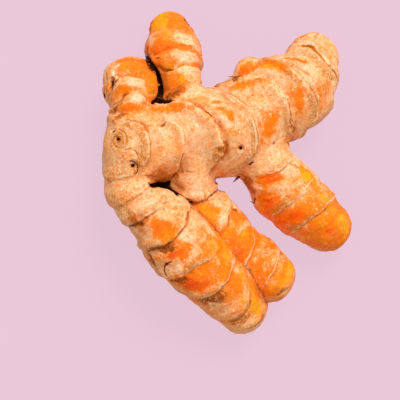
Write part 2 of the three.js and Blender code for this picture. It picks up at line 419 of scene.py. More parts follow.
def limb_gap(limb, points, wobble, lumps):
    """Distance from the limb's skin (negative inside), the way out, and the coordinates."""
    place = limb.locate(points)
    gaps = limb.ring_gaps(place, wobble)
    place["ring_gaps"] = gaps
    place["internode"] = limb.internode(gaps)
    place["flow"] = flow_coordinates(place)
    relief = lumps + 0.1 * noise(place["flow"], 0.9, 5) + 0.12 * noise(place["flow"], 2.0, 6)
    for column, (_, _, _, _, strength, _) in enumerate(limb.rings):
        uneven = np.clip(strength * (1 + 0.5 * noise(points, 5.0, 7 + column)), 0, 3)
        relief += ring_relief(gaps[:, column], uneven)
    girth = place["radius"] * (1 + limb.lump(place)) + relief
    end_reach = np.where(place["past"] < 0, limb.ends[0], limb.ends[1]) + relief
    axial = np.abs(place["past"]) / end_reach
    radial = place["reach"] / girth
    fill = np.hypot(axial, radial)
    scale = (end_reach * axial**2 + girth * radial**2) / (fill**2 + 1e-9)
    gap = np.where(place["past"] == 0, place["reach"] - girth, (fill - 1) * scale)
    way = place["outward"] * (radial / girth)[:, None]
    way += place["ahead"] * (np.sign(place["past"]) * axial / end_reach)[:, None]
    way = np.where((place["past"] == 0)[:, None], place["outward"], way)
    return gap, unit_rows(way), place


def bud_gap(bud, points):
    """Distance from a bud's skin and the way out."""
    middle, radii, turn, _ = bud
    angle = math.radians(turn)
    spin = np.array([
        [math.cos(angle), math.sin(angle), 0],
        [-math.sin(angle), math.cos(angle), 0],
        [0, 0, 1],
    ])
    offset = (points - middle) @ spin.T
    scaled = offset / radii
    fill = np.linalg.norm(scaled, axis=1) + 1e-9
    size = np.linalg.norm(offset, axis=1)
    return size * (1 - 1 / fill), unit_rows((scaled / radii) @ spin)


def blend(gap_a, way_a, gap_b, way_b, fillet):
    """Join two skins with a fillet. Returns the joint gap and its way out."""
    share = np.clip(0.5 + 0.5 * (gap_a - gap_b) / fillet, 0, 1)
    gap = gap_a * (1 - share) + gap_b * share - fillet * share * (1 - share)
    way = way_a * (1 - share)[:, None] + way_b * share[:, None]
    return gap, unit_rows(way)


def skin_gap(limbs, points):
    """Distance from the whole rhizome's skin, the way out, and each limb's coordinates."""
    wobble = 0.3 * noise(points, 6.0, 1) + 0.2 * noise(points, 2.2, 2)
    lumps = 0.25 * noise(points, 5.5, 3) + 0.15 * noise(points, 1.8, 4)
    found = {name: limb_gap(limb, points, wobble, lumps) for name, limb in limbs.items()}
    trunk_gap, trunk_way, _ = found["trunk"]
    gap, way = trunk_gap, trunk_way
    for name, fillet in FILLETS.items():
        joined, joined_way = blend(trunk_gap, trunk_way, *found[name][:2], fillet)
        closer = joined < gap
        gap = np.where(closer, joined, gap)
        way = np.where(closer[:, None], joined_way, way)
    for bud in BUDS.values():
        gap, way = blend(gap, way, *bud_gap(bud, points), bud[3])
    places = {name: facts[2] for name, facts in found.items()}
    limb_gaps = {name: facts[0] for name, facts in found.items()}
    return gap, way, places, limb_gaps


# ---------- the mesh ----------


def ring_faces(rows, sides):
    """The faces of a closed tube: the quads between its rings of vertices, and its two ends."""
    faces = []
    for row, side in itertools.product(range(rows - 1), range(sides)):
        first, second, turn = row * sides, (row + 1) * sides, (side + 1) % sides
        faces.append((first + side, first + turn, second + turn, second + side))
    last = (rows - 1) * sides
    return faces + [tuple(range(sides - 1, -1, -1)), tuple(range(last, last + sides))]


def joined(pieces):
    """The vertices and faces of several pieces as one list of each."""
    vertices, faces = [], []
    for piece_vertices, piece_faces in pieces:
        start = len(vertices)
        vertices += [tuple(v) for v in piece_vertices]
        faces += [tuple(start + i for i in face) for face in piece_faces]
    return vertices, faces


def add_object(name, data):
    """A new object in the scene."""
    obj = bpy.data.objects.new(name, data)
    bpy.context.scene.collection.objects.link(obj)
    return obj


def tube_mesh(limb):
    """A plain closed tube of the limb, as vertices and faces."""
    sides, rows = 48, []
    for angle in np.radians([88, 70, 50, 25]):
        rows.append((-limb.ends[0] * math.sin(angle), math.cos(angle)))
    for distance in np.arange(0, limb.length, 1.5):
        rows.append((distance, 1))
    for angle in np.radians([0, 25, 50, 70, 88]):
        rows.append((limb.length + limb.ends[1] * math.sin(angle), math.cos(angle)))
    around = np.linspace(0, 2 * math.pi, sides, endpoint=False)
    vertices = []
    for distance, share in rows:
        at = min(max(distance, 0), limb.length)
        step = int(round(at / limb.length * AXIS_STEPS))
        step = int(np.abs(limb.distance - at).argmin()) if step else 0
        centre = limb.centre[step] + limb.ahead[step] * (distance - at)
        reach = limb.radius[step] * share
        for angle in around:
            spoke = limb.right[step] * math.cos(angle) + limb.up[step] * math.sin(angle)
            vertices.append(centre + reach * spoke)
    return vertices, ring_faces(len(rows), sides)


def ball_mesh(bud):
    """A plain ball of the bud."""
    middle, radii, turn, _ = bud
    sides, layers = 32, 16
    angle = math.radians(turn)
    vertices = []
    for layer in range(1, layers):
        lean = math.pi * layer / layers
        for side in range(sides):
            around = 2 * math.pi * side / sides
            x = radii[0] * math.sin(lean) * math.cos(around)
            y = radii[1] * math.sin(lean) * math.sin(around)
            z = radii[2] * math.cos(lean)
            vertices.append((
                middle[0] + x * math.cos(angle) - y * math.sin(angle),
                middle[1] + x * math.sin(angle) + y * math.cos(angle),
                middle[2] + z,
            ))
    return vertices, [face[::-1] for face in ring_faces(layers - 1, sides)]


def base_mesh(limbs):
    """Limbs and buds joined by a fine voxel remesh. Returns vertices in mm and quads."""
    pieces = [tube_mesh(limb) for limb in limbs.values()]
    pieces += [ball_mesh(bud) for bud in BUDS.values()]
    vertices, faces = joined(pieces)
    mesh = bpy.data.meshes.new("base")
    mesh.from_pydata(vertices, [], faces)
    obj = add_object("base", mesh)
    remesh = obj.modifiers.new("join", "REMESH")
    remesh.mode = "VOXEL"
    remesh.voxel_size = VOXEL
    remesh.adaptivity = 0
    bpy.context.view_layer.update()
    made = obj.evaluated_get(bpy.context.evaluated_depsgraph_get()).to_mesh()
    points = np.empty(len(made.vertices) * 3)
    made.vertices.foreach_get("co", points)
    quads = np.array([tuple(polygon.vertices) for polygon in made.polygons])
    bpy.data.objects.remove(obj)
    bpy.data.meshes.remove(mesh)
    return points.reshape(-1, 3), quads


def settle_on_skin(limbs, points):
    """Move the vertices onto the rhizome's skin, and flatten what it rests on."""
    for _ in range(SETTLE_PASSES):
        gap, way, _, _ = skin_gap(limbs, points)
        points = points - way * np.clip(gap, -SETTLE_STEP, SETTLE_STEP)[:, None]
    points[:, 2] = np.maximum(points[:, 2], 0)
    return points


def mesh_object(name, points, faces):
    """A smooth-shaded object from points in the grown frame, in millimetres."""
    mesh = bpy.data.meshes.new(name)
    mesh.from_pydata(((points - FOOTPRINT_MIDDLE) * MM).tolist(), [], [tuple(f) for f in faces])
    mesh.polygons.foreach_set("use_smooth", [True] * len(mesh.polygons))
    mesh.update()
    return add_object(name, mesh)


# ---------- marks pressed into the skin ----------

# Pits: limb, the pixel it shows at, radius and depth in millimetres.
PITS = [
    ("trunk", (240.5, 149), 1.0, 1.3),
    ("trunk", (338, 92), 3.2, 0.8),
    ("trunk", (312, 128), 3.2, 1.0),
    ("trunk", (118, 139), 0.8, 0.7),
    ("trunk", (113, 131), 0.9, 0.6),
    ("trunk", (133, 166), 1.6, 0.9),
    ("trunk", (222, 149), 2.0, 0.3),
    ("trunk", (274, 144), 0.5, 0.4),
    ("trunk", (291, 128), 0.9, 0.5),
    ("trunk", (117, 115), 1.6, 0.9),
    ("short_finger", (111, 82), 1.5, 1.3),
    ("short_finger", (110.5, 87), 1.0, 0.8),
    ("tall_finger", (157, 59), 1.0, 0.4),
    ("tall_finger", (147, 50), 1.0, 0.6),
    ("low_finger", (281, 252), 1.4, 0.5),
    ("low_finger", (282, 292), 1.4, 0.5),
    ("low_finger", (235, 209), 1.0, 0.5),
    ("front_finger", (166, 266), 1.0, 0.5),
    ("front_finger", (147, 219), 0.9, 0.4),
    ("right_finger", (325, 210), 0.8, 0.4),
]

# Lines traced over the skin: kind, width in millimetres, and the pixels that the line passes.
LINES = {
    "trunk": [
        ("tan", 1.3, [(120, 120), (128, 120), (136, 122), (143, 126), (148, 133), (150.5, 140),
                      (151, 148), (150, 156), (147, 163), (146, 172)]),
        ("pale", 1.0, [(168, 118), (176, 122), (181, 127), (184, 133), (185, 140), (185, 148)]),
        ("brown", 0.9, [(184, 152), (182, 158), (180, 163), (179.5, 169), (177, 174)]),
        ("crease", 0.6, [(180, 168), (181, 174), (184, 179), (188, 182), (193, 182.5)]),
        ("crease", 0.6, [(178, 172), (179, 178), (182, 182), (187, 185)]),
        ("orange", 1.3, [(183, 104), (192, 105), (200, 109.5), (207, 114), (212.5, 118.5)]),
        ("cream", 1.1, [(203, 106), (210, 111), (216, 118), (219, 127), (221, 137), (223, 143)]),
        ("olive", 1.3, [(223.5, 141), (224.5, 148), (223, 155), (219, 163)]),
        ("pale", 0.9, [(218, 91), (228, 94), (236, 97.5), (242, 102), (247.5, 107.5), (251, 114)]),
        ("tan", 0.9, [(251, 114), (254, 120), (256, 128), (257.5, 136), (258, 144), (256.5, 152),
                      (254, 160)]),
        ("cream", 1.0, [(252, 77), (259, 76.5), (266, 79), (272, 82), (277, 85), (281, 90),
                        (285, 94.5), (288.5, 100)]),
        ("spotted", 1.0, [(288.5, 100), (289.5, 107), (290.5, 114), (292, 120), (293.5, 127),
                          (293.5, 137)]),
        ("band", 1.2, [(264, 59.5), (272, 60.5), (280, 62), (290, 66.5), (298, 73), (304, 79), (310, 86)]),
        ("olive", 1.1, [(304, 79), (309, 85), (313, 92), (317, 100), (318, 108), (316, 116), (312, 123)]),
        ("brown", 1.8, [(296, 46), (303, 46), (309, 47), (314, 50), (319, 54.5), (324, 60), (329, 65),
                       (333, 69.5), (336, 75), (338, 82), (339, 87)]),
        ("deep", 1.0, [(299, 38), (302, 36), (308, 32.5), (314, 32), (320, 33.5), (327, 37.5), (331, 43)]),
        ("red", 0.9, [(158, 106), (168, 104), (176, 104), (186, 104), (196, 106), (203, 111)]),
        ("deep", 1.0, [(111, 118), (116, 115), (122, 112.5), (128, 115.5), (134, 118)]),
        ("crease", 0.7, [(116, 129), (121, 130), (125, 134), (126.5, 140), (125, 146), (120, 149)]),
        ("crease", 0.45, [(116, 133), (120, 133), (122.5, 137), (123, 142), (120.5, 146)]),
        ("crack", 0.4, [(112.5, 138.5), (115, 137), (118.5, 137.5), (120, 140), (118, 143)]),
        ("crack", 0.4, [(115, 139), (117, 141), (116, 144)]),
        ("crack", 0.5, [(111.5, 132), (114, 130.5), (116, 131)]),
        ("crease", 0.4, [(112, 143), (115, 147), (119, 148)]),
        ("crease", 0.6, [(123, 152), (127, 149.5), (132, 150), (136, 153), (137, 157)]),
        ("crack", 0.5, [(128, 162), (132, 162), (136, 165), (137.5, 169), (136, 174), (132, 177)]),
        ("crease", 0.4, [(129, 165), (132, 165.5), (134.5, 169), (133.5, 173), (130, 175)]),
        ("crease", 0.4, [(142.5, 173), (144.5, 171.5), (146.5, 173.5), (145, 176), (143, 176)]),
        ("crack", 0.5, [(164.5, 121.5), (164, 124), (162, 126)]),
        ("crease", 0.4, [(155, 127), (159, 126), (163, 125.5)]),
    ],
    "front_finger": [
        ("tan", 1.0, [(144, 222), (149, 215), (157, 210), (163, 204), (172, 199)]),
        ("deep", 1.5, [(143, 252), (152, 250), (158, 248), (164, 247), (170, 243), (175, 241)]),
        ("brown", 1.3, [(173, 242), (178, 236), (182, 231), (185, 226), (186.5, 220), (188, 213),
                        (190, 208)]),
        ("deep", 1.4, [(158, 277), (162, 279), (170, 280), (178, 281), (183, 279), (186, 276)]),
        # A crack pressed along the finger's left outline, its brown line painted shade on that edge.
        ("crack", 0.8, [(147, 253), (152, 262), (156, 270), (160, 278)]),
        ("band", 1.2, [(186, 276), (190, 272), (195, 268), (199, 265), (205, 263), (213, 259)]),
        ("crack", 0.6, [(173, 261.5), (167, 263.5), (163.5, 268), (164, 273), (168, 277)]),
        ("pale", 1.0, [(214, 293), (219, 291), (222, 287), (226, 284), (229, 280), (231, 275),
                       (233, 269), (233, 262)]),
        ("olive", 0.9, [(226, 320), (233, 321), (238, 319), (242, 316), (246, 311), (249, 307),
                        (250, 302), (250, 297)]),
        ("brown", 0.7, [(247, 329), (253, 327), (258, 324), (262, 319.5), (265, 314)]),
        ("deep", 1.3, [(126, 227), (131, 226), (137, 224), (143, 222)]),
    ],
    "low_finger": [
        ("tan", 0.8, [(186, 199), (190, 201), (196, 202), (201, 201), (206, 200), (208.5, 197),
                      (210.5, 193)]),
        ("crease", 0.8, [(230, 207), (229, 215), (229, 221), (228, 228)]),
        ("band", 1.0, [(254, 232), (256, 240), (254, 249), (251, 257), (246, 266), (243, 270)]),
        ("pale", 0.8, [(280, 250), (279, 257), (277, 265), (273, 274), (268, 281)]),
    ],
    "right_finger": [
        ("pale", 1.0, [(296, 158), (290, 162), (285, 167), (280, 171), (272, 174), (262, 175)]),
        ("pale", 0.8, [(314, 178), (310, 184), (305, 190), (298, 197), (290, 203)]),
        ("band", 1.3, [(272, 220), (278, 214), (284, 209), (290, 205), (297, 200), (305, 193)]),
        ("band", 1.1, [(291, 235), (300, 228), (308, 222), (314, 218), (319, 214)]),
        ("brown", 0.7, [(314, 218), (321, 213), (326, 208), (328, 205)]),
        ("cream", 0.8, [(326, 206), (331, 202), (335, 198), (338, 196)]),
        ("red", 0.8, [(338, 247), (342, 243), (346, 238), (350, 232)]),
    ],
    "tall_finger": [
        ("deep", 1.0, [(156, 66), (160, 69.5), (165, 71.5), (171, 70), (175, 69)]),
        ("red", 0.9, [(175, 69), (180, 66.5), (185, 65), (190, 66), (196, 67), (201, 68)]),
        ("red", 0.9, [(151, 57), (155, 56), (160, 54), (165, 51), (170, 49), (178, 47.5),
                      (186, 48), (193, 49), (199, 50)]),
    ],
    "short_finger": [
        ("deep", 0.9, [(111, 92), (112, 87), (115, 82), (119, 78), (124, 76.5)]),
        ("red", 0.8, [(119, 77), (126, 76), (133, 77), (140, 78), (147, 80)]),
        ("cream", 1.0, [(113, 68), (113.5, 73), (115.5, 78)]),
        ("pale", 0.8, [(121, 80), (116, 85), (112, 91), (109, 98), (108, 104)]),
        ("crease", 0.7, [(106, 72), (107, 79), (108, 86), (106, 93)]),
        ("brown", 1.1, [(109, 109), (112, 107), (115, 104), (121, 100), (125, 96), (130, 92.5)]),
        ("red", 0.9, [(130, 92.5), (136, 91.5), (143, 94), (148, 98)]),
    ],
}

# Gaps where two limbs close over each other, pressed in and painted dark as painted shade: width,
# depth and pixels. The shut-in skin within GAP_REACH pixels of one gets the same dark painted shade.
GAP_REACH = 3.5
GAPS = [
    (0.6, 2.2, [(147, 59), (151.5, 64), (155.5, 70), (158.8, 76), (160.3, 82), (160.8, 88),
                (160, 94), (157.5, 100), (153, 105.5)]),
    (1.0, 2.2, [(151, 107), (156, 105), (161, 102.5), (166, 102), (171, 103.2), (176, 103.7)]),
    (0.7, 1.2, [(148, 181), (152, 185), (157, 187), (163, 188), (168, 190), (174, 193), (181, 197)]),
]

# Steps of a traced line for each of its pixels, how far round it vertices are looked for in
# millimetres, and the share of it that fades at an end.
TRACE_STEPS = 6
LINE_REACH = 4.5
LINE_FADE = 0.12

# Depth of each kind of line and height of the swelling before it, in line widths.
LINE_RELIEF = {
    "pale": (0.2, 0.25),
    "tan": (0.35, 0.3),
    "band": (0.3, 0.3),
    "cream": (0.3, 0.3),
    "olive": (0.45, 0.35),
    "orange": (0.55, 0.35),
    "red": (0.45, 0.4),
    "brown": (0.4, 0.35),
    "spotted": (0.35, 0.25),
    "deep": (0.5, 0.3),
    "crease": (0.45, 0.1),
    "crack": (0.8, 0.1),
}


def vertex_normals(points, quads):
    """The way that the skin faces at each vertex."""
    corners = points[quads]
    facing = np.cross(corners[:, 2] - corners[:, 0], corners[:, 3] - corners[:, 1])
    normals = np.zeros_like(points)
    for column in range(4):
        np.add.at(normals, quads[:, column], facing)
    return unit_rows(normals)


# How sharply the skin passes from one limb to the next, in millimetres, and how squarely a spot
# faces the camera to count as seen.
OWNER_BLUR = 0.9
SEEN = 0.05

# How far out from the skin, and how much higher, it is looked for other skin: close by, and in
# the clefts between limbs.
HOLLOW_PROBE = (3.0, 0.0)
CLEFT_PROBE = (4.0, 5.0)


class Surface:
    """The settled mesh, with what its marks and paint are placed by."""

    def __init__(self, points, quads, limbs):
        """Place each vertex on the limbs and in the photograph, and trace the lines and gaps."""
        self.points = points
        self.quads = quads
        _, _, self.places, gaps = skin_gap(limbs, points)
        nearness = {
            name: np.exp(-np.clip(gap, -3, 30) / OWNER_BLUR) for name, gap in gaps.items()
        }
        total = sum(nearness.values())
        self.share = {name: near / total for name, near in nearness.items()}
        self.normals = vertex_normals(points, quads)
        self.pixels = photo_pixels(points)
        self.towards = self.normals @ LOOK_BACK
        self.hollow = self.shut_in(limbs, *HOLLOW_PROBE)
        self.deep = self.shut_in(limbs, *CLEFT_PROBE)
        self.rough_edge = 0.42 * noise(points, 2.6, 21) + 0.32 * noise(points, 1.1, 22)
        self.lines = [
            (kind, *self.trace(limb, pixels, width))
            for limb, rows in LINES.items()
            for kind, width, pixels in rows
        ]
        self.gaps = [(depth, *self.trace(None, pixels, width)) for width, depth, pixels in GAPS]
        self.by_gap = np.zeros(len(points))
        for _, _, pixels in GAPS:
            for at in catmull_rom(pixels, np.linspace(0, 1, TRACE_STEPS * len(pixels))):
                away = ((self.pixels - at) ** 2).sum(axis=1)
                self.by_gap = np.maximum(self.by_gap, np.exp(-away / GAP_REACH**2))

    def shut_in(self, limbs, out, rise):
        """0 where the skin faces open air, up to 1 where other skin closes over it."""
        probes = self.points + self.normals * out + (0, 0, rise)
        gap, _, _, _ = skin_gap(limbs, probes)
        return np.clip(1 - gap / (out + 0.6 * rise), 0, 1)

    def shown_at(self, limb, pixel):
        """The vertex of the limb that shows at a pixel of the photograph."""
        miss = np.linalg.norm(self.pixels - pixel, axis=1)
        hidden = (self.towards < SEEN) | (self.share[limb] < 0.4)
        return int(np.argmin(miss + 1000.0 * hidden))

    def trace(self, limb, pixels, width):
        """Follow a line over the skin.

        Returns the vertices near it, how many widths each lies past it (towards the limb's tip),
        and how strongly the line shows there: it fades out at both ends.
        """
        share_of = self.share[limb] if limb else np.ones(len(self.points))
        ahead_of = self.places[limb or "trunk"]["ahead"]
        seen = np.flatnonzero((self.towards > SEEN) & (share_of > 0.3))
        path = catmull_rom(pixels, np.linspace(0, 1, TRACE_STEPS * len(pixels)))
        spots = [seen[((self.pixels[seen] - at) ** 2).sum(axis=1).argmin()] for at in path]
        track = self.points[spots]
        for _ in range(4):
            track[1:-1] = 0.25 * track[:-2] + 0.5 * track[1:-1] + 0.25 * track[2:]
        low, high = track.min(axis=0) - LINE_REACH, track.max(axis=0) + LINE_REACH
        near = np.flatnonzero(((self.points > low) & (self.points < high)).all(axis=1))
        closest = np.full(len(near), 99.0)
        signed, along = closest.copy(), np.zeros(len(near))
        ahead = 0.0
        for step, (start, end) in enumerate(zip(track[:-1], track[1:])):
            way = end - start
            offset = self.points[near] - start
            share = np.clip(offset @ way / (way @ way + 1e-9), 0, 1)
            away = offset - share[:, None] * way
            size = np.linalg.norm(away, axis=1)
            side = np.sign((np.cross(way, away) * self.normals[near]).sum(axis=1))
            closer = size < closest
            closest = np.where(closer, size, closest)
            signed = np.where(closer, side * size, signed)
            along = np.where(closer, (step + share) / (len(track) - 1), along)
            ahead += np.cross(self.normals[spots[step]], way) @ ahead_of[spots[step]]
        shows = smooth_step(0, LINE_FADE, along) * smooth_step(1, 1 - LINE_FADE, along)
        shows *= smooth_step(0.1, 0.4, share_of[near])
        return near, math.copysign(1, ahead) * signed / width, width, shows

    def press(self):
        """Press the gaps, lines and pits into the skin."""
        depth = np.zeros(len(self.points))
        for deepest, near, gap, width, shows in self.gaps:
            depth[near] += deepest * shows * bell(gap, 1)
        for kind, near, gap, width, shows in self.lines:
            groove, swell = LINE_RELIEF[kind]
            relief = groove * bell(gap - 0.3, 0.9) - swell * bell(gap + 1.5, 1.4)
            depth[near] += relief * shows * width * (1 + 0.6 * self.rough_edge[near])
        for limb, pixel, radius, height in PITS:
            middle = self.points[self.shown_at(limb, pixel)]
            away = np.linalg.norm(self.points - middle, axis=1) / radius
            away = away * (1 + 0.35 * self.rough_edge)
            depth += height * (bell(away, 1) - 0.25 * bell(away - 1.5, 0.4))
        self.points = self.points - self.normals * depth[:, None]
        self.normals = vertex_normals(self.points, self.quads)


# ---------- paint ----------

# The two colour attributes hold four masks each.
LAYERS = ("raw", "hue", "tan", "pale", "brown", "dark", "olive", "shade")

# How much of each limb is scraped to the raw flesh: distances along its axis, and the share there.
RAW_ALONG = {
    "trunk": [(0, 0.02), (18, 0.12), (22, 0.22), (45, 0.3), (60, 0.25), (75, 0.2)],
    "front_finger": [(0, 0.1), (20, 0.1), (28, 0.3), (38, 0.4), (50, 0.5), (70, 0.4)],
    "low_finger": [(0, 0.1), (8, 0.15), (12, 0.4), (22, 0.55), (30, 0.6), (50, 0.65)],
    "right_finger": [(0, 0.05), (12, 0.2), (20, 0.4), (30, 0.6), (36, 0.85)],
    "tall_finger": [(0, 0.05), (10, 0.15), (15, 0.35), (21, 0.55), (30, 0.75)],
    "short_finger": [(0, 0.2), (8, 0.4), (14, 0.5), (22, 0.55)],
}
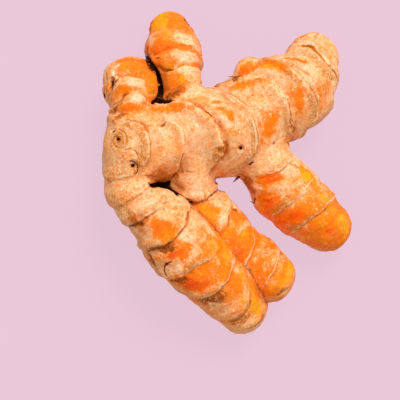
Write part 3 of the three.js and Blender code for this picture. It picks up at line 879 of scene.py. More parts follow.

# Patches of paint, by limb and layer: the pixel of the middle (across, down), half length and half
# width in pixels, turn of the long way in degrees anticlockwise, and strength. A hue below 0 is more
# golden, above 0 more red.
PATCHES = {
    "trunk": {
        "raw": [
            (130, 154, 6, 4, -20, 0.5), (166, 152, 15, 18, 0, 0.2), (156, 166, 10, 6, -20, 0.3),
            (229, 132, 4, 3, 0, 0.4), (165, 172, 14, 6, 0, 0.35), (172, 108.5, 19, 5.5, 3, 1.2),
            (194, 130, 4, 2, 20, 0.5), (206, 112, 14, 2.5, -25, 0.5), (218, 125, 7, 2, -60, 0.4),
            (185, 99, 12, 3, -10, 0.6), (218, 102, 5, 2, -10, 0.6), (220, 109, 4, 2.5, 0, 0.6),
            (231, 117, 3, 4.5, 0, 0.9), (226, 113, 8, 3, -30, 0.35), (236, 131, 6, 5, 30, 0.3),
            (220, 174, 5, 3, 10, 0.55), (241, 85, 13, 4.5, 0, 0.85), (266, 65, 13, 6, -5, 1.2),
            (284, 69, 10, 5, -25, 0.7), (262, 80, 8, 3, -20, 0.5), (247, 69, 9, 6, 10, 1.2),
            (242, 61, 4, 2.5, 0, 0.9), (269, 127, 9, 16, -15, 0.4), (268.5, 131, 3.5, 6, -10, 0.5),
            (275, 117, 4.5, 3, 30, 0.5), (299, 96, 9, 20, 12, 0.5), (300, 100, 3.5, 9, 5, 0.5),
            (296, 59.5, 11, 2.5, -33, 1.0), (320, 46, 7, 2, -30, 0.5), (331, 61, 9, 3.5, -60, 0.5),
            (323, 97, 7, 15, -10, 0.5), (137, 112, 12, 4, 10, 0.7),
        ],
        "hue": [
            (170, 109, 16, 6, 3, -0.4), (244, 73, 6, 5, 0, 0.4), (241, 63, 6, 5, 0, -1.0),
            (267, 133, 6, 8, -15, 0.4), (323, 102, 7, 8, 0, 0.3), (137, 112, 14, 6, 10, -0.3),
        ],
        "tan": [
            (122, 132, 15, 9, 50, 0.8), (133, 178, 12, 10, 0, 1.0), (232, 173, 13, 3.5, 5, 0.7),
            (328, 72, 7, 9, 20, 0.6),
        ],
        # Some pale patches are painted highlights on ridges: the neck at (275, 156), the ridge at (188,
        # 92) and the tip's edge at (311.5, 43.5).
        "pale": [
            (135, 138, 8, 5, 60, 0.5), (143, 174, 2.5, 2, 0, 0.9), (190, 108, 14, 4, -15, 0.4),
            (236, 126, 5, 5, 0, 0.5), (170, 122, 12, 5, 60, 0.3), (180, 133, 12, 3, 100, 0.45),
            (217, 144, 5, 3, -30, 0.5), (188, 92, 8, 5, 0, 0.9), (224, 120, 5, 8, 40, 0.7),
            (275, 156, 8, 4.5, -5, 0.9), (273, 97, 7, 5, -40, 0.4), (306, 56, 12, 4, -30, 0.5),
            (311, 73, 7, 8, 0, 0.6), (311.5, 43.5, 7, 2, -25, 1.3), (325, 57, 10, 1.8, -45, 1.3),
            (333, 82, 3, 4, 0, 0.9), (312, 43, 8, 4, -20, 0.6),
        ],
        # The brown patch at (163, 178), under the left lobe, is painted shade.
        "brown": [
            (117, 137, 8, 5, 60, 0.45), (133, 168, 7, 5, 60, 0.6), (163, 125, 2.5, 1.5, 30, 0.8),
            (163, 178, 13, 5, -10, 0.4), (178, 175, 7, 3, 60, 0.6), (221, 149, 4.5, 6, 10, 0.75),
            (239.5, 148.5, 4, 4, 0, 0.6), (253, 95, 3, 1.5, 20, 0.6), (237, 77, 6, 3.5, 30, 1.1),
            (247, 57.5, 9, 1.2, 0, 0.6), (274, 144, 1.5, 1.5, 0, 0.9), (290, 120, 2, 7, 10, 0.6),
            (292, 129, 3, 4, 0, 0.7), (324, 72, 3, 9, 20, 0.5), (333, 110, 2.5, 5, 50, 0.8),
            (289, 47, 3, 2, 40, 0.9), (305, 36, 5, 1.5, 30, 0.9), (325, 35, 6, 1.3, -35, 0.7),
            (116, 115, 7, 4, 25, 1.0),
        ],
        # The dark patches at (167, 185) and (163, 101) are painted shade in the deep hollows between
        # limbs; the others darken pits and scars.
        "dark": [
            (113, 131, 2.4, 1.6, 20, 1.1), (118, 139, 2.2, 1.8, 0, 1.1), (132.5, 166, 2.5, 2, 40, 1.0),
            (167, 185, 6.5, 4.5, -30, 1.1), (240.5, 149, 2.4, 2.4, 0, 1.2),
            (237, 76.5, 3.5, 1.5, 30, 0.7), (288.5, 100, 1.3, 1.3, 0, 0.9),
            (293, 137, 1.2, 1.5, 0, 0.8), (163, 101, 5, 3, 10, 1.0),
        ],
        "olive": [
            (115, 124, 10, 4, 60, 0.7), (147, 152, 3, 22, -5, 0.4), (124, 134, 17, 13, 60, 0.3),
            (141, 137, 7, 18, 5, 0.5), (138, 160, 8, 5, 40, 0.6), (122, 150, 6, 16, 0, 0.35),
            (126, 162, 9, 7, 90, 0.4), (118, 141, 8, 6, 60, 0.6), (176, 160, 11, 5, 70, 0.5),
            (217, 152, 11, 5, 85, 0.6), (310, 98, 2.5, 16, 8, 0.45),
        ],
        # Painted shade on the underside of the left lobe.
        "shade": [
            (160, 169, 16, 9, -10, 0.6), (160, 178, 14, 6, -15, 0.9),
        ],
    },
    "front_finger": {
        "raw": [
            (118, 186, 5, 10, 20, 0.5), (151, 194, 5, 1.5, 0, 0.8), (170, 208, 12, 7, -30, 0.2),
            (176, 200, 4, 1.5, -10, 0.6), (162, 229, 18, 8, -35, 0.75), (205, 238, 15, 12, -45, 0.4),
            (185, 252, 5, 9, 0, 0.8), (175, 254, 9, 4, 20, 0.8), (195, 282, 18, 9, 10, 1.2),
            (205, 272, 14, 7, 20, 0.7), (223, 252, 7, 20, 20, 1.0), (212, 275, 16, 9, 20, 0.9),
            (231, 278, 9, 11, 40, 0.7), (235, 301, 11, 10, 40, 0.4), (252, 286, 8, 15, 35, 0.6),
            (257, 308, 6, 11, 20, 0.8),
        ],
        "hue": [
            (150, 228, 10, 6, -40, 0.5), (172, 255, 9, 5, 20, 0.8), (190, 284, 15, 8, 0, 0.9),
            (224, 246, 7, 16, 20, -0.5), (250, 284, 9, 14, 35, -0.4), (257, 308, 6, 11, 20, -0.8),
        ],
        "tan": [
            (112, 168, 12, 26, 5, 0.7), (124, 200, 12, 20, 40, 0.6), (140, 240, 14, 7, -50, 0.9),
            (157, 262, 7, 9, -30, 0.8), (250, 328, 9, 4, 30, 0.6),
        ],
        # The pale patch at (184, 238) is a painted highlight.
        "pale": [
            (147, 203, 8, 9, 0, 0.4), (166, 212, 9, 7, -30, 0.45), (184, 238, 7, 4, -20, 0.9),
            (243, 293, 4, 8, 30, 0.4),
        ],
        # The brown patches at (132, 216) and (152, 262) are painted shade on the finger's left flank.
        "brown": [
            (108, 178, 3, 12, 5, 0.45), (166, 200.5, 1.5, 1.2, 0, 0.7), (132, 216, 12, 6, -55, 0.6),
            (146, 218, 2.5, 2, 30, 0.8), (161, 249, 14, 4.5, 12, 1.0), (152, 262, 14, 3, -62, 0.6),
            (178, 280, 9, 4, 15, 0.9), (218, 298, 10, 6, 30, 0.9), (206, 301, 9, 5, -20, 0.7),
            (240, 321, 9, 4, 30, 0.7), (259, 322, 10, 1.5, 40, 0.8),
        ],
        # The dark patches at (131, 226) and (155, 270) are painted shade along the finger's left flank.
        "dark": [
            (131, 226, 6, 2.5, 20, 0.6), (166, 266, 5, 1.3, 55, 0.9), (155, 270, 14, 2.0, -62, 0.8),
            (184, 277, 3, 1.5, 30, 0.6), (234, 322, 4, 2.5, 30, 0.4),
        ],
        "olive": [
            (122, 204, 5, 12, 40, 0.5), (178, 233, 7, 3, 40, 0.7), (219, 290, 13, 2, 25, 0.7),
            (238, 319, 9, 3, 40, 0.8),
        ],
        # Painted shade on the left flank and along the ring at (163, 248).
        "shade": [
            (138, 222, 11, 8, -50, 1.0), (163, 248, 14, 4, 12, 0.6),
        ],
    },
    "low_finger": {
        "raw": [
            (203, 209, 11, 5, 0, 1.3), (211, 216, 6, 8, 30, 1.0), (237, 215, 8, 7, -40, 0.8),
            (230, 232, 5, 5, 0, 0.6), (249, 230, 8, 4, -50, 0.6), (242, 250, 20, 11, 50, 1.1),
            (263, 249, 6, 9, -20, 0.35), (267, 241, 9, 4, -40, 1.0), (262, 268, 9, 10, 50, 0.7),
            (289, 273, 7, 13, -20, 0.7), (270, 291, 6, 6, 0, 0.6),
        ],
        "hue": [
            (207, 212, 12, 8, 0, -0.4), (238, 256, 12, 6, 50, 0.5), (291, 272, 7, 13, -20, -0.9),
        ],
        "pale": [
            (200, 189, 8, 5, 10, 0.5), (245, 228, 3, 9, -35, 0.7), (272, 262, 2, 9, -25, 0.8),
            (202, 203, 7, 1.5, 5, 0.8), (221, 219, 8, 3, 30, 0.6), (259, 250, 3, 16, -20, 0.6),
            (268, 252, 4, 6, -30, 0.25), (266, 266, 3, 4, -30, 0.6),
        ],
        "brown": [
            (235, 209, 3.5, 2.2, -20, 0.9), (281, 252, 5, 3, -45, 0.9), (282, 292, 7, 2.5, 35, 0.8),
        ],
        "dark": [
            (214, 231, 2, 1.3, 0, 0.8),
        ],
        "olive": [
            (193, 200.5, 9, 1.5, 5, 0.7),
        ],
        # Painted shade on the collar next to the cavity.
        "shade": [
            (181, 187, 5, 7, 30, 0.6),
        ],
    },
    "right_finger": {
        "raw": [
            (269, 178, 13, 6, 10, 1.2), (309, 176, 10, 5, -45, 1.1), (293, 165, 5, 2, 0, 0.6),
            (300, 185, 16, 9, 35, 0.25), (268, 203, 13, 12, 70, 1.5), (294, 217, 19, 8, 32, 1.6),
            (317, 190, 8, 4, -45, 0.6), (333, 224, 20, 17, 60, 1.4), (344, 230, 8, 16, 15, 1.2),
            (330, 231, 3, 1.5, 0, 1.0),
        ],
        "hue": [
            (269, 178, 11, 6, 10, 0.6), (309, 177, 9, 6, -45, -0.6), (270, 202, 8, 10, 60, 0.6),
            (260, 208, 5, 5, 0, -0.9), (289, 220, 15, 8, 30, 0.6), (336, 208, 10, 8, 60, -0.5),
            (346, 230, 6, 15, 15, -0.9), (330, 231, 3.5, 2, 0, 2.0),
        ],
        "tan": [
            (258, 178, 6, 12, 20, 0.6), (286, 208, 17, 3, 38, 0.9), (308, 221, 18, 2.5, 38, 0.8),
        ],
        # The pale patch at (277, 155) is a painted highlight on the neck.
        "pale": [
            (277, 155, 7, 4, 0, 0.5), (284, 170, 12, 2, 35, 0.7), (292, 192, 14, 9, 30, 0.35),
            (287, 207, 18, 3.0, 38, 0.7), (309, 220, 21, 2.8, 38, 1.0),
        ],
        # The brown patch at (248, 184) is painted shade on the root's left flank.
        "brown": [
            (248, 184, 6, 13, 25, 0.75), (325, 210, 4, 1.2, 45, 0.8), (313, 246, 8, 1.2, -20, 0.7),
        ],
        "dark": [
            (254.5, 200, 1.6, 6, -10, 0.7),
        ],
        # Painted shade on the root's left flank.
        "shade": [
            (249, 186, 7, 15, 25, 1.1),
        ],
    },
    "tall_finger": {
        "raw": [
            (168, 20, 18, 9, 0, 1.3), (162, 44, 9, 8, 0, 0.9), (176, 47, 24, 3.5, 0, 1.4),
            (173, 61, 6, 7, 0, 0.7), (162, 62, 12, 7, -35, 1.0), (199, 70, 4, 10, 0, 0.8),
            (173, 83, 15, 12, 25, 1.5),
        ],
        "hue": [
            (160, 27, 7, 14, 0, -0.6), (162, 48, 10, 5, 0, 0.5), (158, 22, 9, 8, 30, -0.8),
            (172, 84, 12, 9, 25, 0.25), (182, 78, 6, 4, 25, -0.3),
        ],
        # The pale patches at (185, 70), (180, 70) and (192, 88) are painted highlights by the root.
        "pale": [
            (182, 36, 14, 7, -15, 1.0), (151, 38, 3, 10, 15, 0.9), (181, 57, 15, 5, 5, 0.75),
            (185, 70, 8, 3.5, 10, 0.6), (180, 70, 9, 2.5, 20, 0.6), (192, 88, 8, 8, 0, 0.4),
        ],
        # The brown patches at (169, 97), (178, 95) and (160.5, 86) are painted shade under and left of the
        # root's swelling.
        "brown": [
            (147, 50, 3, 4, 0, 1.0), (169, 97, 10, 4, 20, 1.1), (178, 95, 9, 4, 30, 0.5),
            (160.5, 86, 2.5, 12, 0, 0.7),
        ],
        "dark": [
            (187, 23, 6, 1.6, -60, 1.1), (157, 58, 3, 1.2, 0, 0.8),
        ],
        # Painted shade under the lobes and down the left side of the root.
        "shade": [
            (160, 69, 12, 5, -40, 1.1), (176, 92, 12, 5, 35, 1.2), (164, 84, 5, 13, 0, 0.9),
        ],
    },
    "short_finger": {
        "raw": [
            (132, 60, 15, 2, 0, 0.8), (132, 67, 17, 8, 0, 0.8), (152, 85, 6, 22, 5, 1.5),
            (131, 88, 9, 4, 20, 0.6), (133, 107, 14, 4, 5, 0.9), (122, 88, 6, 4, 30, 0.6),
            (155, 98, 3, 9, 0, 0.9),
        ],
        "hue": [
            (132, 60, 15, 2, 0, 0.6), (152, 88, 6, 20, 5, -0.1),
        ],
        "tan": [
            (116, 94, 6, 10, -35, 0.7), (115, 97, 8, 9, 45, 0.6),
        ],
        # The pale patch at (136, 99) is a painted highlight on the neck.
        "pale": [
            (118, 66, 5, 5, 30, 0.7), (107, 68, 7, 3, 45, 1.2), (114.5, 74, 2, 7, 15, 1.3),
            (131, 84, 10, 3, 5, 0.8), (136, 99, 7, 4, 0, 1.2),
        ],
        "brown": [
            (111, 82, 4, 8, -10, 0.9), (119, 103, 9, 2.5, 45, 0.8), (113, 112, 6, 4, 30, 0.7),
        ],
        "dark": [
            (111, 83, 2.5, 4.5, -15, 0.8), (104.5, 95, 2, 4, 0, 1.0),
        ],
    },
}

# How strongly each kind of ring scar or line shows: its brown line, the olive band and the cream
# edge before that line, and the raw flesh after it. The olive band is partly painted shade where the
# swollen sheath edge turns down before the line, and the cream edge partly a painted highlight on its lip.
LINE_PAINT = {
    "faint": (0.25, 0.2, 0.3, 0.2),
    "pale": (0.35, 0.6, 0.7, 0.2),
    "tan": (0.55, 1.0, 0.75, 0.2),
    "band": (0.3, 1.5, 0.6, 0.1),
    "cream": (0.2, 0.2, 1.1, 0.3),
    "olive": (0.7, 1.2, 0.5, 0.0),
    "orange": (1.1, 0.2, 0.5, 0.9),
    "red": (0.35, 0.0, 0.4, 1.0),
    "brown": (0.9, 0.7, 0.5, 0.2),
    "spotted": (0.65, 0.8, 0.45, 0.3),
    "deep": (1.3, 0.5, 0.45, 0.2),
    "crease": (0.6, 0.0, 0.25, 0.0),
    "crack": (1.5, 0.2, 0.2, 0.0),
}


# How far the edge of a patch fades, as a share of its size. Brown and dark patches are crisp.
SOFT_EDGE = 0.75
CRISP_EDGE = 0.5


def paint(surface):
    """The paint masks over the surface, one for each layer."""
    points = surface.points
    masks = {layer: np.zeros(len(points)) for layer in LAYERS}
    slow = noise(points, 9.0, 31)
    middling = noise(points, 3.5, 32)

    # All over: slow unevenness, and painted shade where the skin turns down or is shut in: more tan,
    # brown, shade colour and a redder hue.
    turned_down = smooth_step(0.45, -0.3, surface.normals[:, 2])
    masks["tan"] += 0.18 + 0.35 * noise(points, 12.0, 33) + 0.4 * turned_down
    masks["pale"] += 0.25 + 0.4 * noise(points, 5.0, 34)
    masks["brown"] += 0.3 * turned_down + 0.12 * middling
    # The painted shade of hollows and clefts goes only on the skin that doesn't face down: shade
    # colour and brown in hollows, dark in clefts and by the gaps.
    not_under = smooth_step(-0.75, -0.15, surface.normals[:, 2])
    hollow, deep = surface.hollow * not_under, surface.deep * not_under
    masks["shade"] += 0.55 * turned_down + 1.0 * hollow
    masks["brown"] += 0.9 * smooth_step(0.3, 1.0, hollow)
    masks["dark"] += smooth_step(0.6, 1.0, deep)
    masks["dark"] += 1.3 * surface.by_gap * smooth_step(0.4, 0.8, hollow)
    masks["hue"] += 0.5 * noise(points, 8.0, 36) + 0.25 * turned_down

    # On each limb: bare flesh along it, streaks along its fibres, and the patches.
    for name, share in surface.share.items():
        place = surface.places[name]
        level = np.interp(place["distance"], *zip(*RAW_ALONG[name]))
        streaks = noise(place["flow"] * (1, 1.6, 1.6), 1.9, 37)
        masks["raw"] += share * (level + 0.3 * slow + 0.2 * middling + 0.16 * streaks)
        masks["tan"] += share * 0.15 * streaks
        masks["pale"] += share * 0.2 * noise(place["flow"], 1.2, 38)
        for layer, rows in PATCHES[name].items():
            fade = CRISP_EDGE if layer in ("dark", "brown") else SOFT_EDGE
            for across, down, length, width, turn, strength in rows:
                middle = surface.shown_at(name, (across, down))
                reach = patch_reach(surface, middle, length, width, turn)
                masks[layer] += share**0.5 * strength * smooth_step(1 + fade, 1 - fade, reach)

    # Painted shade in the gaps between limbs: dark along each gap and brown beside it.
    for _, near, gap, _, shows in surface.gaps:
        masks["dark"][near] += 1.4 * shows * bell(gap, 0.8)
        masks["brown"][near] += 0.9 * shows * bell(gap, 1.5)
    masks["hue"] = 0.5 + 0.5 * masks["hue"]
    return {layer: np.clip(mask, 0, 1) for layer, mask in masks.items()}


def patch_reach(surface, middle, length, width, turn):
    """How far out each vertex lies from a patch's middle, 1 at its edge."""
    normal = surface.normals[middle]
    long_way = picture_way(turn)
    long_way -= normal * (long_way @ normal)
    long_way /= np.linalg.norm(long_way)
    wide_way = np.cross(normal, long_way)
    offset = surface.points - surface.points[middle]
    along = offset @ long_way / (length * MM_PER_PIXEL)
    wide = offset @ wide_way / (width * MM_PER_PIXEL)
    deep = offset @ normal / (max(length, width) * MM_PER_PIXEL)
    return np.sqrt(along**2 + wide**2 + deep**2) + surface.rough_edge


# ---------- skin material ----------

# The skin's and the flesh's colours, in steps of 0 to 255.
COLOURS = {
    "peach": (254, 194, 148),
    "honey": (254, 190, 120),
    "warm_peach": (251, 158, 98),
    "cream": (255, 224, 184),
    "tan": (234, 171, 114),
    "olive": (218, 158, 98),
    "apricot": (255, 152, 60),
    "golden": (255, 166, 10),
    "orange": (255, 126, 10),
    "red_orange": (255, 88, 2),
    # Painted shade: the orange-brown that shaded skin is painted with.
    "shade_orange": (222, 118, 40),
    "ochre": (212, 120, 30),
    "brown": (150, 68, 12),
    "dark": (50, 16, 6),
}


def linear(colour):
    """A colour of 0 to 255 steps as the shader's linear light."""
    steps = [channel / 255 for channel in colour]
    light = [c / 12.92 if c <= 0.04045 else ((c + 0.055) / 1.055) ** 2.4 for c in steps]
    return (*light, 1.0)


class Wiring:
    """Adds nodes to one material and links them. Values may be sockets or numbers."""

    def __init__(self, material):
        """Start from the material's own shader. Each noise is given a seed of its own."""
        material.use_nodes = True
        self.nodes = material.node_tree.nodes
        self.links = material.node_tree.links
        self.shader = self.nodes["Principled BSDF"]
        self.seed = 0.0
        self.colour = None

    def feed(self, socket, value):
        """Link a socket to the value, or set it."""
        if isinstance(value, bpy.types.NodeSocket):
            self.links.new(value, socket)
        else:
            socket.default_value = value

    def math(self, operation, first, second=0.0, third=0.0):
        """One arithmetic step."""
        node = self.nodes.new("ShaderNodeMath")
        node.operation = operation
        for socket, value in zip(node.inputs, (first, second, third)):
            self.feed(socket, value)
        return node.outputs[0]

    def times(self, first, second):
        """The product."""
        return self.math("MULTIPLY", first, second)

    def add_share(self, value, share, base):
        """A share of the value added to the base."""
        return self.math("MULTIPLY_ADD", value, share, base)

    def less(self, value, amount):
        """The value, lowered by an amount."""
        return self.math("SUBTRACT", value, amount)

    def edge(self, value, low, high):
        """0 below low, 1 above high, smooth between."""
        node = self.nodes.new("ShaderNodeMapRange")
        node.interpolation_type = "SMOOTHSTEP"
        self.feed(node.inputs["Value"], value)
        node.inputs["From Min"].default_value = low
        node.inputs["From Max"].default_value = high
        return node.outputs["Result"]

    def noise(self, vector, scale, detail=2.0, roughness=0.5, distortion=0.0):
        """A noise from 0 to 1, with the scale in lumps to a unit of the vector."""
        node = self.nodes.new("ShaderNodeTexNoise")
        node.noise_dimensions = "4D"
        self.feed(node.inputs["Vector"], vector)
        self.seed += 3.7
        node.inputs["W"].default_value = self.seed
        node.inputs["Scale"].default_value = scale
        node.inputs["Detail"].default_value = detail
        node.inputs["Roughness"].default_value = roughness
        node.inputs["Distortion"].default_value = distortion
        return node.outputs["Fac"]

    def threads(self, vector, scale, width, distortion=1.0):
        """Thin winding lines, along the level lines of a noise, that come and go."""
        level = self.less(self.noise(vector, scale, 1, 0.5, distortion), 0.5)
        line = self.edge(self.math("ABSOLUTE", level), width, 0.0)
        return self.times(line, self.edge(self.noise(vector, scale * 0.8), 0.42, 0.58))

    def mix(self, share, first, second):
        """The first colour passing into the second. Each is a socket or a name in COLOURS."""
        node = self.nodes.new("ShaderNodeMix")
        node.data_type = "RGBA"
        self.feed(node.inputs["Factor"], share)
        colours = [socket for socket in node.inputs if socket.type == "RGBA"]
        for socket, colour in zip(colours, (first, second)):
            self.feed(socket, linear(COLOURS[colour]) if isinstance(colour, str) else colour)
        return next(socket for socket in node.outputs if socket.type == "RGBA")

    def coat(self, tint, mask, strength=1.0):
        """Lay a tint over the colour so far, where the mask shows it."""
        cover = mask if strength == 1.0 else self.times(mask, strength)
        self.colour = self.mix(cover, self.colour, tint)

    def attribute(self, name):
        """The node that reads one attribute of the mesh."""
        node = self.nodes.new("ShaderNodeAttribute")
        node.attribute_name = name
        return node

    def masks(self, name):
        """The four masks of one colour attribute."""
        attribute = self.attribute(name)
        split = self.nodes.new("ShaderNodeSeparateColor")
        self.links.new(attribute.outputs["Color"], split.inputs[0])
        return [*split.outputs, attribute.outputs["Alpha"]]


def make_skin():
    """Worn skin over orange flesh, with painted shade and highlights, painted by the masks and by
    noise along the fibres.
    """
    skin = bpy.data.materials.new("turmeric_skin")
    wire = Wiring(skin)
    raw, hue, tan, pale = wire.masks("paint_a")
    brown, dark, olive, shade = wire.masks("paint_b")
    brown_line, olive_band, cream_edge, raw_strip = wire.masks("ring_paint")
    ring_gap = wire.attribute("ring_gap").outputs["Fac"]
    flow = wire.attribute("flow").outputs["Vector"]
    place = wire.nodes.new("ShaderNodeTexCoord").outputs["Object"]

    # The grain that breaks up every edge: lumps to a metre, and fibres to a millimetre.
    fine = wire.noise(place, 1700, 3, 0.7)
    coarse = wire.noise(place, 520, 3, 0.7)
    fibres = wire.noise(flow, 1.3, 4, 0.7)
    grain = wire.math("ADD", wire.times(fine, 0.5), wire.times(fibres, 0.3))
    grain = wire.less(wire.add_share(coarse, 0.2, grain), 0.5)

    def broken(mask, amount, low, high):
        """The mask with its edge broken up by the grain."""
        return wire.edge(wire.add_share(grain, amount, mask), low, high)

    # Lines that run along the ring scars, with a ragged course.
    ragged = wire.less(wire.noise(place, 330, 2, 0.6), 0.5)
    course = wire.add_share(ragged, 1.6, wire.add_share(grain, 1.5, ring_gap))

    def line(middle, half_width, sharpness):
        """A line beside the scar, that many of its widths past it."""
        off = wire.math("ABSOLUTE", wire.less(course, middle))
        return wire.edge(off, half_width, half_width * sharpness)

    # The olive band is partly painted shade before a sheath edge, and the cream lip partly a painted
    # highlight on it.
    groove = wire.times(line(0.25, 0.6, 0.3), brown_line)
    lip = wire.times(line(-0.55, 0.7, 0.1), cream_edge)
    band = wire.times(line(-1.8, 2.6, 0.1), olive_band)
    strip = wire.times(line(1.0, 1.3, 0.4), raw_strip)

    mottled = wire.less(wire.noise(place, 260, 3, 0.7, 0.4), 0.5)
    hue = wire.add_share(mottled, 1.3, hue)
    flesh = wire.mix(wire.edge(hue, 0.1, 0.5), "golden", "orange")
    flesh = wire.mix(wire.edge(hue, 0.55, 1.05), flesh, "red_orange")

    # Whole skin, with streaks along its fibres.
    wire.colour = wire.mix(wire.edge(wire.noise(place, 130), 0.4, 0.62), "peach", "honey")
    wire.coat("warm_peach", wire.edge(coarse, 0.42, 0.62), 0.75)
    streaks = wire.noise(flow, 0.6, 3, 0.65, 0.4)
    wire.coat("apricot", wire.edge(streaks, 0.53, 0.64), 0.5)
    wire.coat("cream", wire.edge(streaks, 0.46, 0.36), 0.55)
    # Pale skin, partly painted highlights where the pale patches put them.
    wire.coat("cream", broken(pale, 6.0, 0.2, 1.0), 0.85)
    wire.coat("tan", broken(tan, 2.4, 0.25, 1.0), 0.85)
    wire.coat("olive", broken(olive, 2.4, 0.25, 1.0))
    wire.coat("olive", broken(band, 2.4, 0.1, 1.0))

    # Grit and flecks of flesh in it, and the bare flesh where it is scraped off.
    grit = wire.noise(place, 1500, 2, 0.6)
    wire.coat("apricot", wire.edge(grit, 0.48, 0.66), 0.45)
    wire.coat("cream", wire.edge(grit, 0.46, 0.3), 0.45)
    flecked = wire.edge(wire.noise(place, 160), 0.35, 0.6)
    spots = wire.edge(wire.noise(place, 620, 3, 0.6, 0.6), 0.55, 0.64)
    wire.coat(flesh, wire.times(spots, flecked), 0.8)
    wire.coat(flesh, wire.threads(place, 380, 0.04), 0.7)
    wire.coat("cream", wire.threads(place, 520, 0.03), 0.6)
    bare = wire.times(wire.math("MAXIMUM", raw, wire.times(strip, 0.9)), 1.5)
    bare = wire.add_share(pale, -0.6, bare)
    wire.coat("apricot", broken(bare, 3.0, 0.25, 0.95), 0.8)
    wire.coat(flesh, broken(bare, 4.5, 0.5, 1.2))

    # Cream scales, strands and specks, fewer on the bare flesh.
    covered = wire.edge(bare, 1.5, 0.7)

    def on_skin(mask, on_cover, on_flesh):
        """The mask, at one strength on the skin and at another on the bare flesh."""
        return wire.times(mask, wire.add_share(covered, on_cover - on_flesh, on_flesh))

    scales = wire.edge(wire.noise(place, 800, 3, 0.75, 0.8), 0.55, 0.63)
    scales = wire.times(scales, wire.edge(wire.noise(place, 210), 0.4, 0.6))
    wire.coat("cream", on_skin(scales, 0.85, 0.15))
    wire.coat("cream", on_skin(wire.threads(place, 600, 0.035, 1.5), 0.55, 0.1))
    specks = wire.edge(wire.noise(place, 1000, 3, 0.7, 0.4), 0.58, 0.66)
    specks = wire.times(specks, wire.edge(wire.noise(place, 240), 0.42, 0.6))
    wire.coat("cream", on_skin(specks, 0.52, 0.12))
    wire.coat("cream", broken(lip, 1.6, 0.15, 0.9), 0.8)

    # Painted shade, then brown scars with more painted shade in hollows and where the skin turns down,
    # then dark pits with painted shade in the gaps and clefts, over all else.
    wire.coat("shade_orange", broken(shade, 1.0, 0.1, 1.0), 0.8)
    wire.coat("brown", broken(shade, 1.0, 0.7, 1.3), 0.8)
    wire.coat("ochre", broken(brown, 3.0, 0.1, 0.8), 0.6)
    wire.coat("brown", broken(brown, 4.5, 0.4, 1.2))
    wire.coat("ochre", broken(groove, 2.0, 0.1, 0.7))
    wire.coat("brown", broken(groove, 2.4, 0.6, 1.5))
    # Ochre specks, more where the tan and olive masks and the bands are strong; these include painted
    # shade.
    tan_olive_shade = wire.math("ADD", wire.math("ADD", tan, olive), wire.times(band, 1.5))
    dotted = wire.add_share(tan_olive_shade, 0.07, wire.noise(place, 1300, 2, 0.6))
    wire.coat("ochre", wire.edge(dotted, 0.635, 0.71), 0.75)
    wire.coat("dark", broken(dark, 1.4, 0.3, 0.8))
    wire.feed(wire.shader.inputs["Base Color"], wire.colour)

    wire.feed(wire.shader.inputs["Roughness"], wire.add_share(grain, 0.6, 0.45))
    wire.shader.inputs["Specular IOR Level"].default_value = 0.06
    wire.shader.inputs["Subsurface Weight"].default_value = 0.08
    wire.shader.inputs["Subsurface Radius"].default_value = (1.0, 0.35, 0.1)
    wire.shader.inputs["Subsurface Scale"].default_value = 0.001

    height = wire.add_share(lip, 0.12, wire.add_share(groove, -0.4, grain))
    bump = wire.nodes.new("ShaderNodeBump")
    bump.inputs["Strength"].default_value = 0.8
    bump.inputs["Distance"].default_value = 0.0008
    wire.feed(bump.inputs["Height"], height)
    wire.feed(wire.shader.inputs["Normal"], bump.outputs[0])
    return skin


# ---------- what the mesh holds for its material ----------

# Each kind of mesh attribute, and the field that its values are set by.
ATTRIBUTE_FIELDS = {"FLOAT": "value", "FLOAT_VECTOR": "vector", "FLOAT_COLOR": "color"}


def store(mesh, name, kind, values):
    """Write a value for each vertex into the mesh."""
    attribute = mesh.attributes.new(name, kind, "POINT")
    attribute.data.foreach_set(ATTRIBUTE_FIELDS[kind], values.ravel())


def store_paint(mesh, surface, limbs):
    """Write the masks and the guides of the skin's material into the mesh."""
    masks = paint(surface)
    for name, layers in (("paint_a", LAYERS[:4]), ("paint_b", LAYERS[4:])):
        store(mesh, name, "FLOAT_COLOR", np.stack([masks[layer] for layer in layers], axis=1))
    ring_gap, ring_paint = line_guide(surface, limbs)
    store(mesh, "ring_gap", "FLOAT", ring_gap)
    store(mesh, "ring_paint", "FLOAT_COLOR", ring_paint)
    store(mesh, "flow", "FLOAT_VECTOR", nearest_flow(surface))


def thin_underside(obj, normals):
    """Join the small faces where the skin turns down, which keeps the piece under its limit."""
    underside = obj.vertex_groups.new(name="underside")
    turned_down = smooth_step(*UNDERSIDE, -normals[:, 2])
    for vertex in np.flatnonzero(turned_down):
        underside.add([int(vertex)], float(turned_down[vertex]), "REPLACE")
    thin = obj.modifiers.new("thin", "DECIMATE")
    thin.vertex_group = underside.name
    thin.ratio = FACES_KEPT
    depsgraph = bpy.context.evaluated_depsgraph_get()
    full = obj.data
    obj.data = bpy.data.meshes.new_from_object(
        obj.evaluated_get(depsgraph), preserve_all_data_layers=True, depsgraph=depsgraph
    )
    obj.modifiers.clear()
    obj.vertex_groups.clear()
    bpy.data.meshes.remove(full)
    obj.data.name = obj.name


def nearest_flow(surface):
    """The fibre coordinates of the limb that each vertex lies on."""
    names = list(surface.share)
    owner = np.argmax([surface.share[name] for name in names], axis=0)
    flow = np.stack([surface.places[name]["flow"] for name in names])
    flow[:, :, 1] += 40.0 * np.arange(len(names))[:, None]
    return flow[owner, np.arange(len(owner))]


# How far from a ring or line its paint starts to fade and has gone, and the gap of a vertex that
# has none near it.
RING_FADE = (2.2, 3.4)
NO_RING = 9.0


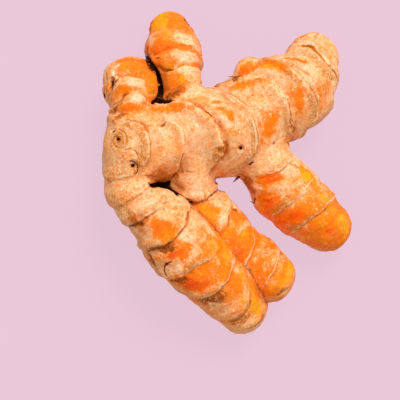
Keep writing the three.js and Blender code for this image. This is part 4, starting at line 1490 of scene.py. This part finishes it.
class Guide:
    """The nearest ring or line to each vertex: how far past it the vertex lies, and its paint."""

    def __init__(self, points):
        """Start with no ring or line near any vertex."""
        self.points = points
        self.gap = np.full(len(points), NO_RING)
        self.second = np.full(len(points), NO_RING)
        self.paint = np.zeros((len(points), 4))

    def offer(self, rows, gap, shows, kind, seed):
        """Let a line of one kind have the rows to which it is the nearest."""
        far = np.abs(gap) + 6.0 * (shows < 0.02)
        nearest = np.abs(self.gap[rows])
        closer = far < nearest
        self.second[rows] = np.where(closer, nearest, np.minimum(far, self.second[rows]))
        mine = rows[closer]
        self.gap[mine] = gap[closer]
        fade = shows[closer] * smooth_step(RING_FADE[1], RING_FADE[0], np.abs(gap[closer]))
        size = 2.0 if kind == "spotted" else 4.0
        for channel, strength in enumerate(LINE_PAINT[kind]):
            patchy = 0.95 + 0.55 * noise(self.points[mine], size, seed + 0.25 * channel)
            self.paint[mine, channel] = strength * fade * np.clip(patchy, 0.1, 1.4)

    def finished(self):
        """The gap and the paint, faded where two lines are equally near."""
        nearest = np.abs(self.gap)
        clear = np.maximum(
            smooth_step(0.05, 0.7, self.second - nearest),
            smooth_step(0.8, 0.3, nearest),
        )
        return self.gap, self.paint * clear[:, None]


def line_guide(surface, limbs):
    """Guide the skin's material by the traced lines, and by the rings where no line covers them."""
    everywhere = np.arange(len(surface.points))
    guide = Guide(surface.points)
    covered = np.zeros(len(surface.points))
    for number, (kind, near, gap, width, shows) in enumerate(surface.lines):
        guide.offer(near, gap, shows, kind, 50 + number)
        cover = shows * smooth_step(4.2, 2.8, np.abs(gap) * width)
        covered[near] = np.maximum(covered[near], cover)
    for name, limb in limbs.items():
        share = smooth_step(0.55, 0.9, surface.share[name]) * smooth_step(0.5, 0.1, covered)
        for column, (_, _, _, _, strength, kind) in enumerate(limb.rings):
            shows = share * min(strength / 1.7, 1.3)
            gap = surface.places[name]["ring_gaps"][:, column]
            guide.offer(everywhere, gap, shows, kind, 100 + column)
    return guide.finished()


# ---------- roots ----------

# Root stubs and dry fibres: limb, pixel they show at, turn in the picture, how steeply they
# stand off the skin, length and radius in millimetres.
ROOTS = [
    ("trunk", (239, 176), -125, 0.6, 3.4, 0.55),
    ("trunk", (251, 164), 70, 0.4, 2.0, 0.5),
    ("trunk", (163, 99), 150, 0.7, 4.5, 0.22),
    ("trunk", (166, 101), 100, 0.6, 5.0, 0.2),
    ("trunk", (169, 102), 60, 0.6, 4.0, 0.18),
    ("trunk", (161, 102), 40, 0.5, 4.5, 0.2),
    ("trunk", (234, 77), 190, 0.5, 2.4, 0.25),
    ("trunk", (237, 77), 215, 0.4, 2.2, 0.2),
    ("short_finger", (146, 60), 20, 0.4, 3.0, 0.25),
    ("tall_finger", (149, 55), 170, 0.3, 2.6, 0.25),
    ("right_finger", (254, 203), 160, 0.5, 1.8, 0.22),
    ("front_finger", (165, 266), 60, 0.2, 3.0, 0.22),
]


def root_tube(start, way, lift, length, radius, bend):
    """A tapered, slightly bent tube from under the skin outwards."""
    rows, sides = 7, 8
    vertices = []
    side = np.cross(way, lift)
    for row in range(rows):
        share = row / (rows - 1)
        middle = start + way * length * (share - 0.15) + side * bend * length * share**2
        reach = radius * (1 - 0.65 * share) * (1 + 0.2 * math.sin(5 * share + 9 * bend))
        for column in range(sides):
            angle = 2 * math.pi * column / sides
            vertices.append(middle + reach * (side * math.cos(angle) + lift * math.sin(angle)))
    return vertices, ring_faces(rows, sides)


def make_roots(surface):
    """The root stubs and dry fibres, as one dark object."""
    tubes = []
    for number, (limb, pixel, turn, rise, length, radius) in enumerate(ROOTS):
        at = surface.shown_at(limb, pixel)
        normal = surface.normals[at]
        way = picture_way(turn)
        way = way - normal * (way @ normal) + normal * rise
        way /= np.linalg.norm(way)
        lift = np.cross(np.cross(way, normal), way)
        lift /= np.linalg.norm(lift)
        bend = 0.25 * math.sin(2.3 * number)
        tubes.append(root_tube(surface.points[at], way, lift, length, radius, bend))
    vertices, faces = joined(tubes)
    roots = mesh_object("root_stubs", np.array(vertices), faces)
    material = bpy.data.materials.new("dry_root")
    wire = Wiring(material)
    place = wire.nodes.new("ShaderNodeTexCoord").outputs["Object"]
    wire.feed(wire.shader.inputs["Base Color"], wire.mix(wire.noise(place, 1500), "dark", "brown"))
    wire.shader.inputs["Roughness"].default_value = 0.8
    roots.data.materials.append(material)
    return roots


# ---------- build ----------

limbs = {name: Limb(number, **facts) for number, (name, facts) in enumerate(LIMBS.items())}
points, quads = base_mesh(limbs)
surface = Surface(settle_on_skin(limbs, points), quads, limbs)
surface.press()
surface.points[:, 2] = np.maximum(surface.points[:, 2], 0)
rhizome = mesh_object("turmeric_rhizome", surface.points, quads)
store_paint(rhizome.data, surface, limbs)
thin_underside(rhizome, surface.normals)
rhizome.data.materials.append(make_skin())

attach(rhizome, "root")
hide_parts("turmeric_root")

roots = make_roots(surface)
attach(roots, "root")

# ---------- stage ----------


# The width of the camera's sensor, in millimetres.
SENSOR_WIDTH = 36.0


def make_camera():
    """The photograph's camera."""
    data = bpy.data.cameras.new("camera")
    data.sensor_width = SENSOR_WIDTH
    data.lens = SENSOR_WIDTH * CAMERA_DISTANCE / (PHOTO_SIDE * MM_PER_PIXEL)
    camera = add_object("camera", data)
    camera.location = Vector((CAMERA_PLACE - FOOTPRINT_MIDDLE) * MM)
    camera.rotation_mode = "QUATERNION"
    turn = Matrix((LOOK_RIGHT, LOOK_UP, LOOK_BACK)).transposed()
    camera.rotation_quaternion = turn.to_quaternion()
    bpy.context.scene.camera = camera


# The floor: half its side in metres, its colour, and how much of that is its own glow.
FLOOR_REACH = 3.0
FLOOR_COLOUR = (232, 199, 216)
FLOOR_GLOW = 0.92


def make_floor():
    """A pale floor that is lit evenly, as the photograph's plain ground is."""
    mesh = bpy.data.meshes.new("floor")
    corners = [(-1, -1, 0), (1, -1, 0), (1, 1, 0), (-1, 1, 0)]
    mesh.from_pydata(np.multiply(corners, FLOOR_REACH).tolist(), [], [(0, 1, 2, 3)])
    floor = add_object("floor", mesh)
    material = bpy.data.materials.new("floor")
    material.use_nodes = True
    shader = material.node_tree.nodes["Principled BSDF"]
    light = linear(FLOOR_COLOUR)
    shader.inputs["Base Color"].default_value = [c * (1 - FLOOR_GLOW) for c in light[:3]] + [1]
    shader.inputs["Emission Color"].default_value = light
    shader.inputs["Emission Strength"].default_value = FLOOR_GLOW
    shader.inputs["Roughness"].default_value = 1.0
    shader.inputs["Specular IOR Level"].default_value = 0.0
    mesh.materials.append(material)
    # The floor's own glow stays off the rhizome's flanks.
    floor.visible_diffuse = False


# The studio's soft light from all round, and the key light: where it comes from, how strong it is,
# and the angle in degrees that it is softened over.
STUDIO_COLOUR = (1.0, 0.86, 0.7, 1.0)
STUDIO_STRENGTH = 0.57
KEY_FROM = (0.32, 0.62, 0.95)
KEY_STRENGTH = 2.6
KEY_SOFTNESS = 25


def make_lights():
    """Soft light from all round and one broad key light."""
    world = bpy.data.worlds.new("studio")
    world.use_nodes = True
    background = world.node_tree.nodes["Background"]
    background.inputs["Color"].default_value = STUDIO_COLOUR
    background.inputs["Strength"].default_value = STUDIO_STRENGTH
    bpy.context.scene.world = world
    data = bpy.data.lights.new("key", "SUN")
    data.energy = KEY_STRENGTH
    data.angle = math.radians(KEY_SOFTNESS)
    light = add_object("key", data)
    light.rotation_mode = "QUATERNION"
    light.rotation_quaternion = Vector(KEY_FROM).to_track_quat("Z", "Y")
    bpy.context.scene.view_settings.view_transform = "Standard"


make_camera()
make_floor()
make_lights()
